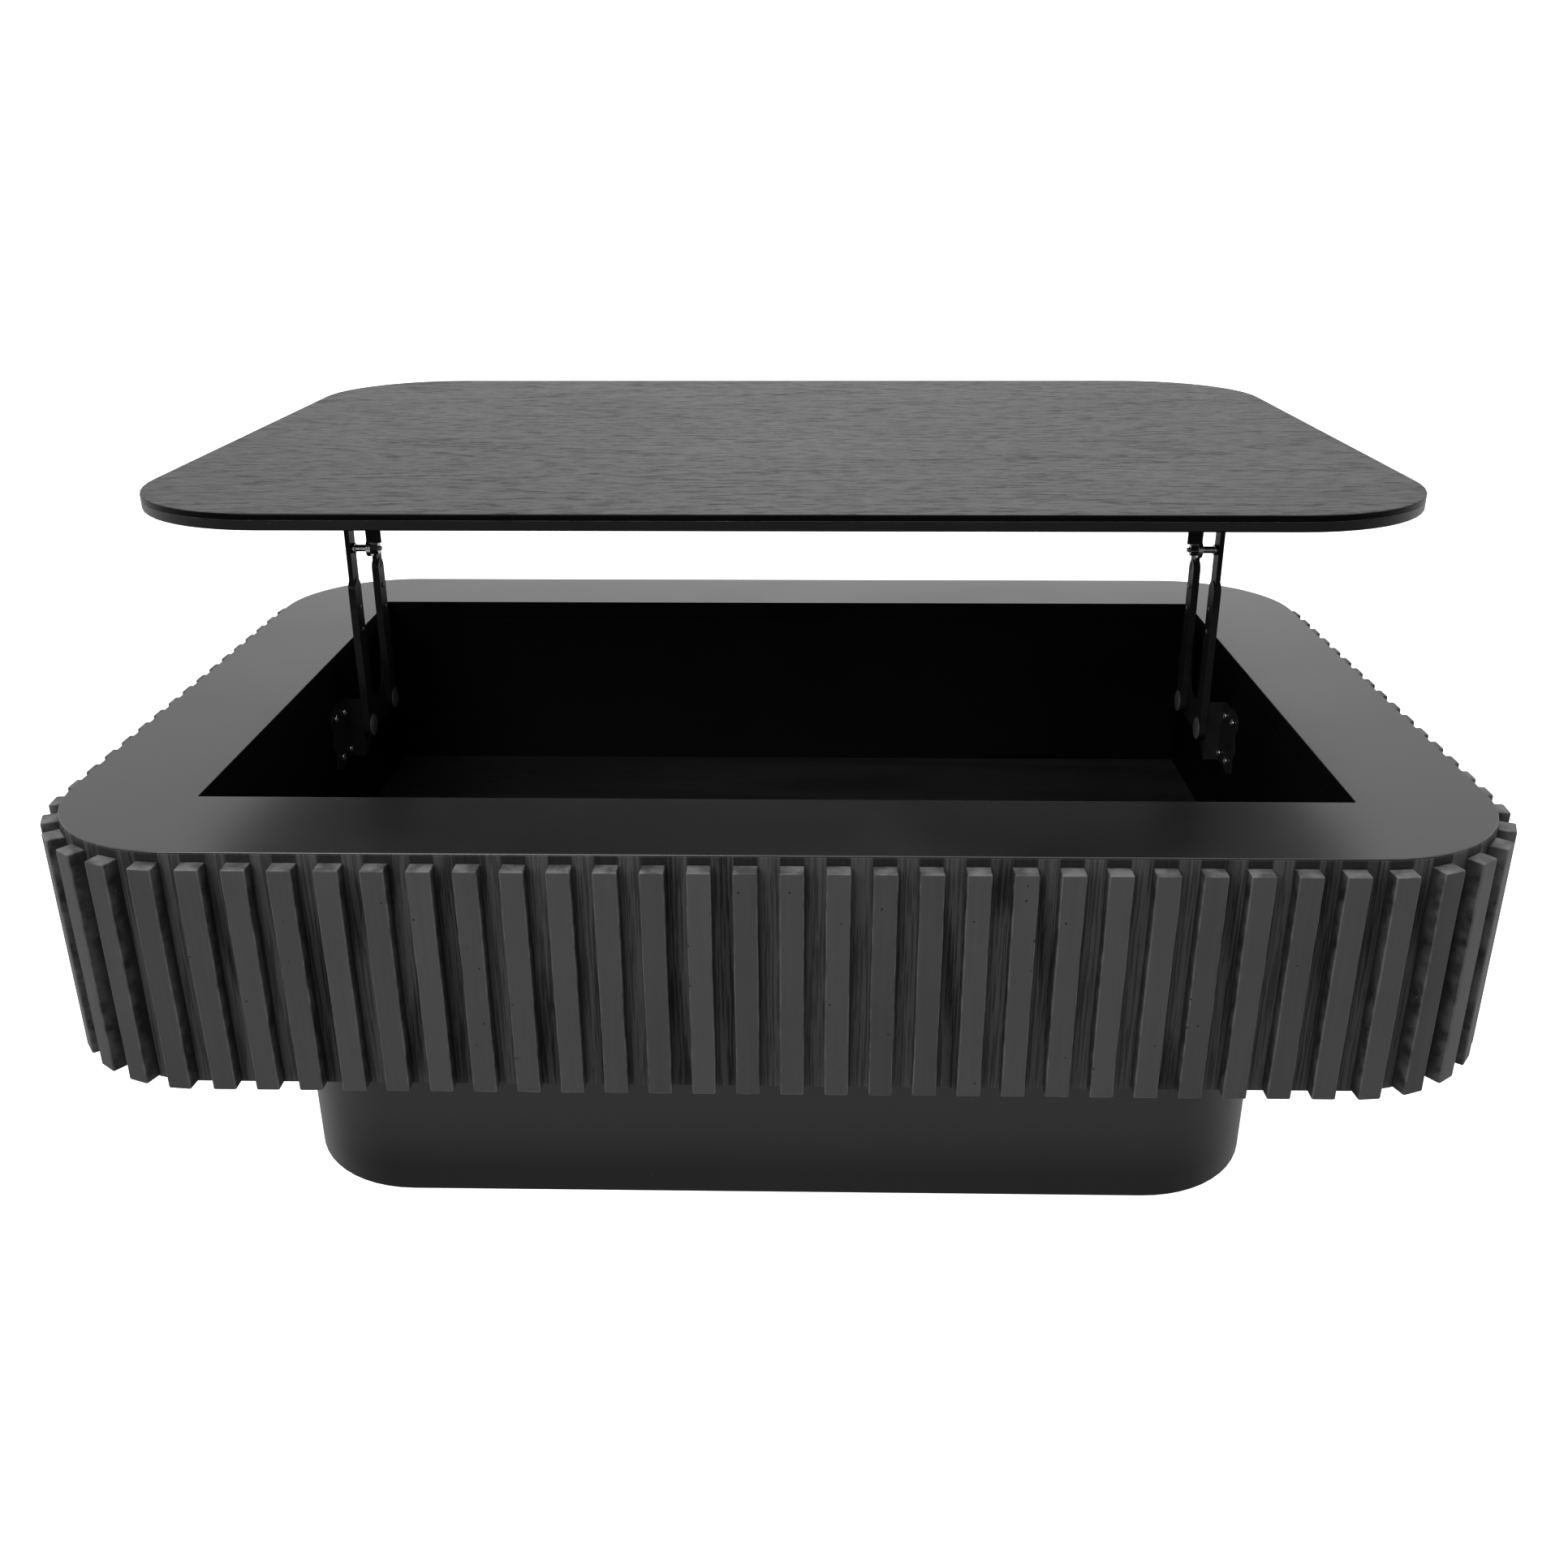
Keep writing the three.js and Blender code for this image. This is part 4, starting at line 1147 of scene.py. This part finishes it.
def stud_profile(start, tip):
    """A head in the channel, a collar, a plain sleeve and a threaded end whose radius
    rises and falls with the thread."""
    head_end, collar_start, collar_end = (
        start + reach for reach in (HEAD_END, COLLAR_START, COLLAR_END))
    body = [(POLE, start), (STUD_HEAD - 0.0003, start), (STUD_HEAD, start + 0.0004),
            (STUD_HEAD, head_end), (STUD_SHANK, head_end), (STUD_SHANK, collar_start),
            (STUD_COLLAR - 0.0004, collar_start), (STUD_COLLAR, collar_start + 0.0004),
            (STUD_COLLAR, collar_end - 0.0003), (STUD_COLLAR - 0.0004, collar_end),
            (STUD_SLEEVE, collar_end), (STUD_SLEEVE, tip - THREADED),
            (STUD_SLEEVE - 0.0003, tip - THREADED + 0.0002)]
    thread_z = np.linspace(tip - THREADED + 0.0005, tip - 0.0006, STUD_THREAD_STEPS)
    crest = np.mod(np.arange(STUD_THREAD_STEPS), 2)
    thread = np.stack([STUD_CORE + STUD_THREAD * crest, thread_z], -1)
    return np.concatenate([body, thread, [(STUD_CORE - 0.0003, tip), (POLE, tip)]])


def make_studs():
    """One stud on each front arm, through to its nut."""
    for label, side in SIDES.items():
        node = f"{label}_cross_stud"
        low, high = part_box(node)
        y, z = (low.y + high.y) / 2, (low.z + high.z) / 2
        points = lay_on_side(turned_loops(stud_profile(*inwards_span(node))), y, z, side)
        add_turned(f"{label}_stud", points, ZINC_STEEL, f"{label}_front_arm",
                   [node], turned_over=side > 0)


GLIDE_ROUND = 0.0016
GLIDE_POLE = 0.0005


def make_glides():
    """Five plastic buttons with a rounded wearing edge."""
    for node in [n for n in frame["nodes"] if n.startswith("glide_")]:
        low, high = (np.array(c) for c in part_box(node))
        radius = (high[0] - low[0]) / 2
        tall = high[2] - low[2]
        profile = [(GLIDE_POLE, 0.0), (radius - GLIDE_ROUND, 0.0), (radius - 0.0006, 0.0004),
                   (radius - 0.0001, 0.0014), (radius - 0.0001, tall - 0.0002),
                   (radius - 0.0004, tall), (GLIDE_POLE, tall)]
        points = turned_loops(profile, 36) + np.array(
            [(low[0] + high[0]) / 2, (low[1] + high[1]) / 2, low[2]])
        add_turned(node.replace("glide_", "foot_"), points, GLIDE_PLASTIC, "cabinet",
                   [node])


make_studs()
make_glides()

# %% [markdown]
# ## Pressed steel
# The mounting plates, arms, rails and nuts have holes, steps and wavy edges that the frame
# already holds exactly. A copy of each has its loose triangles merged and its flat faces
# joined, and a bevel then softens every arris, as tumbling and powder coat do.

# %% Softened copies
MERGE_WITHIN = 1e-6
FLAT_WITHIN = math.radians(1)
BEVEL_OVER = math.radians(50)
PLATE_ARRIS = 0.0005
NUT_ARRIS = 0.0004
ARM_ARRIS = 0.0006


def soften(node, name, body, width):
    """Copies a CAD node in black steel, merges its points, dissolves the flat seams
    between its triangles and bevels what is left by angle."""
    shape = bmesh.new()
    shape.from_mesh(frame["nodes"][node].data)
    bmesh.ops.remove_doubles(shape, verts=shape.verts, dist=MERGE_WITHIN)
    bmesh.ops.dissolve_limit(shape, angle_limit=FLAT_WITHIN, verts=shape.verts,
                             edges=shape.edges)
    mesh = bpy.data.meshes.new(name)
    shape.to_mesh(mesh)
    shape.free()
    mesh.materials.clear()
    mesh.materials.append(BLACK_STEEL)
    mesh.shade_smooth()
    mesh.set_sharp_from_angle(angle=CREASE)
    piece = bpy.data.objects.new(name, mesh)
    bpy.context.scene.collection.objects.link(piece)
    bevel = piece.modifiers.new("soft_arris", "BEVEL")
    bevel.width = width
    bevel.segments = 2
    bevel.limit_method = "ANGLE"
    bevel.angle_limit = BEVEL_OVER
    even = piece.modifiers.new("even_shading", "WEIGHTED_NORMAL")
    even.keep_sharp = True
    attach(piece, body)
    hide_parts(node)
    return piece


NUT_RADIUS = 0.009
for label in SIDES:
    soften(f"{label}_mounting_plate", f"{label}_plate", "cabinet", PLATE_ARRIS)
    soften(f"{label}_top_rail", f"{label}_rail", "top", PLATE_ARRIS)
    nut = soften(f"{label}_stud_nut", f"{label}_hex_nut", f"{label}_front_arm", NUT_ARRIS)
    stud_low, stud_high = (np.array(c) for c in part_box(f"{label}_cross_stud"))
    from_axis = face_fields(nut)[0][:, 1:] - ((stud_low + stud_high) / 2)[1:]
    finish_faces(nut, ZINC_STEEL, np.hypot(*from_axis.T) < NUT_RADIUS)
    for row in ("front", "rear"):
        soften(f"{label}_{row}_arm", f"{label}_{row}_lift_arm", f"{label}_{row}_arm",
               ARM_ARRIS)

# %% [markdown]
# ## Rivets on the arms
# Each arm is two channels, one let into the other, held by two small rivets whose heads
# show on the wider lower channel. They turn with the arm.

# %% Channel rivets
CHANNEL_FACE = 0.0260
CHANNEL_RIVETS = (0.107, 0.131)
SMALL_HEAD = 0.0025
SMALL_HEAD_HEIGHT = 0.0014


def add_channel_rivets(label, row, side):
    """Two domed heads on the arm's own line, measured from its lower pivot."""
    pivot = joints["top_lift" if (label, row) == ("left", "front")
                   else f"{label}_{row}_arm_swing"]["pos_m"]
    rise = np.array(joints["top_level"]["pos_m"][1:]) - joints["top_lift"]["pos_m"][1:]
    along = rise / np.hypot(*rise)
    low, high = CHANNEL_FACE + 0.0001, CHANNEL_FACE + SMALL_HEAD_HEIGHT
    profile = [(SMALL_HEAD - 0.0003, low), (SMALL_HEAD, low + 0.0002),
               *dome(SMALL_HEAD, low + 0.0003, high, 5).tolist()]
    for number, distance in enumerate(CHANNEL_RIVETS, 1):
        y, z = np.array(pivot[1:]) + distance * along
        head = lay_on_side(turned_loops(profile, 20), y, z, side)
        add_turned(f"{label}_{row}_channel_rivet_{number}", head, RIVET_STEEL,
                   f"{label}_{row}_arm", [], turned_over=side > 0)


for label, side in SIDES.items():
    for row in ("front", "rear"):
        add_channel_rivets(label, row, side)

# %% [markdown]
# ## Floor
# The floor is a plain pale sheet that runs far past the view. It glows, so that it is as
# white as the backdrop, and it is left out of what the table reflects.

# %% Floor
FLOOR_HALF = 20.0
FLOOR_GLOW = 1.2


def add_floor():
    """A wide flat floor just under the glides, in plain pale paint."""
    half = FLOOR_HALF
    mesh = bpy.data.meshes.new("floor")
    corners = [(-half, -half, 0), (half, -half, 0), (half, half, 0), (-half, half, 0)]
    mesh.from_pydata(corners, [], [(0, 1, 2, 3)])
    material, _, shader, _ = start_finish("floor_paint", 0.9, spec=0.1)
    shader.inputs["Base Color"].default_value = grey(0.9)
    shader.inputs["Emission Color"].default_value = grey(1.0)
    shader.inputs["Emission Strength"].default_value = FLOOR_GLOW
    mesh.materials.append(material)
    floor = bpy.data.objects.new("floor", mesh)
    floor.visible_diffuse = False
    floor.visible_glossy = False
    bpy.context.scene.collection.objects.link(floor)


add_floor()
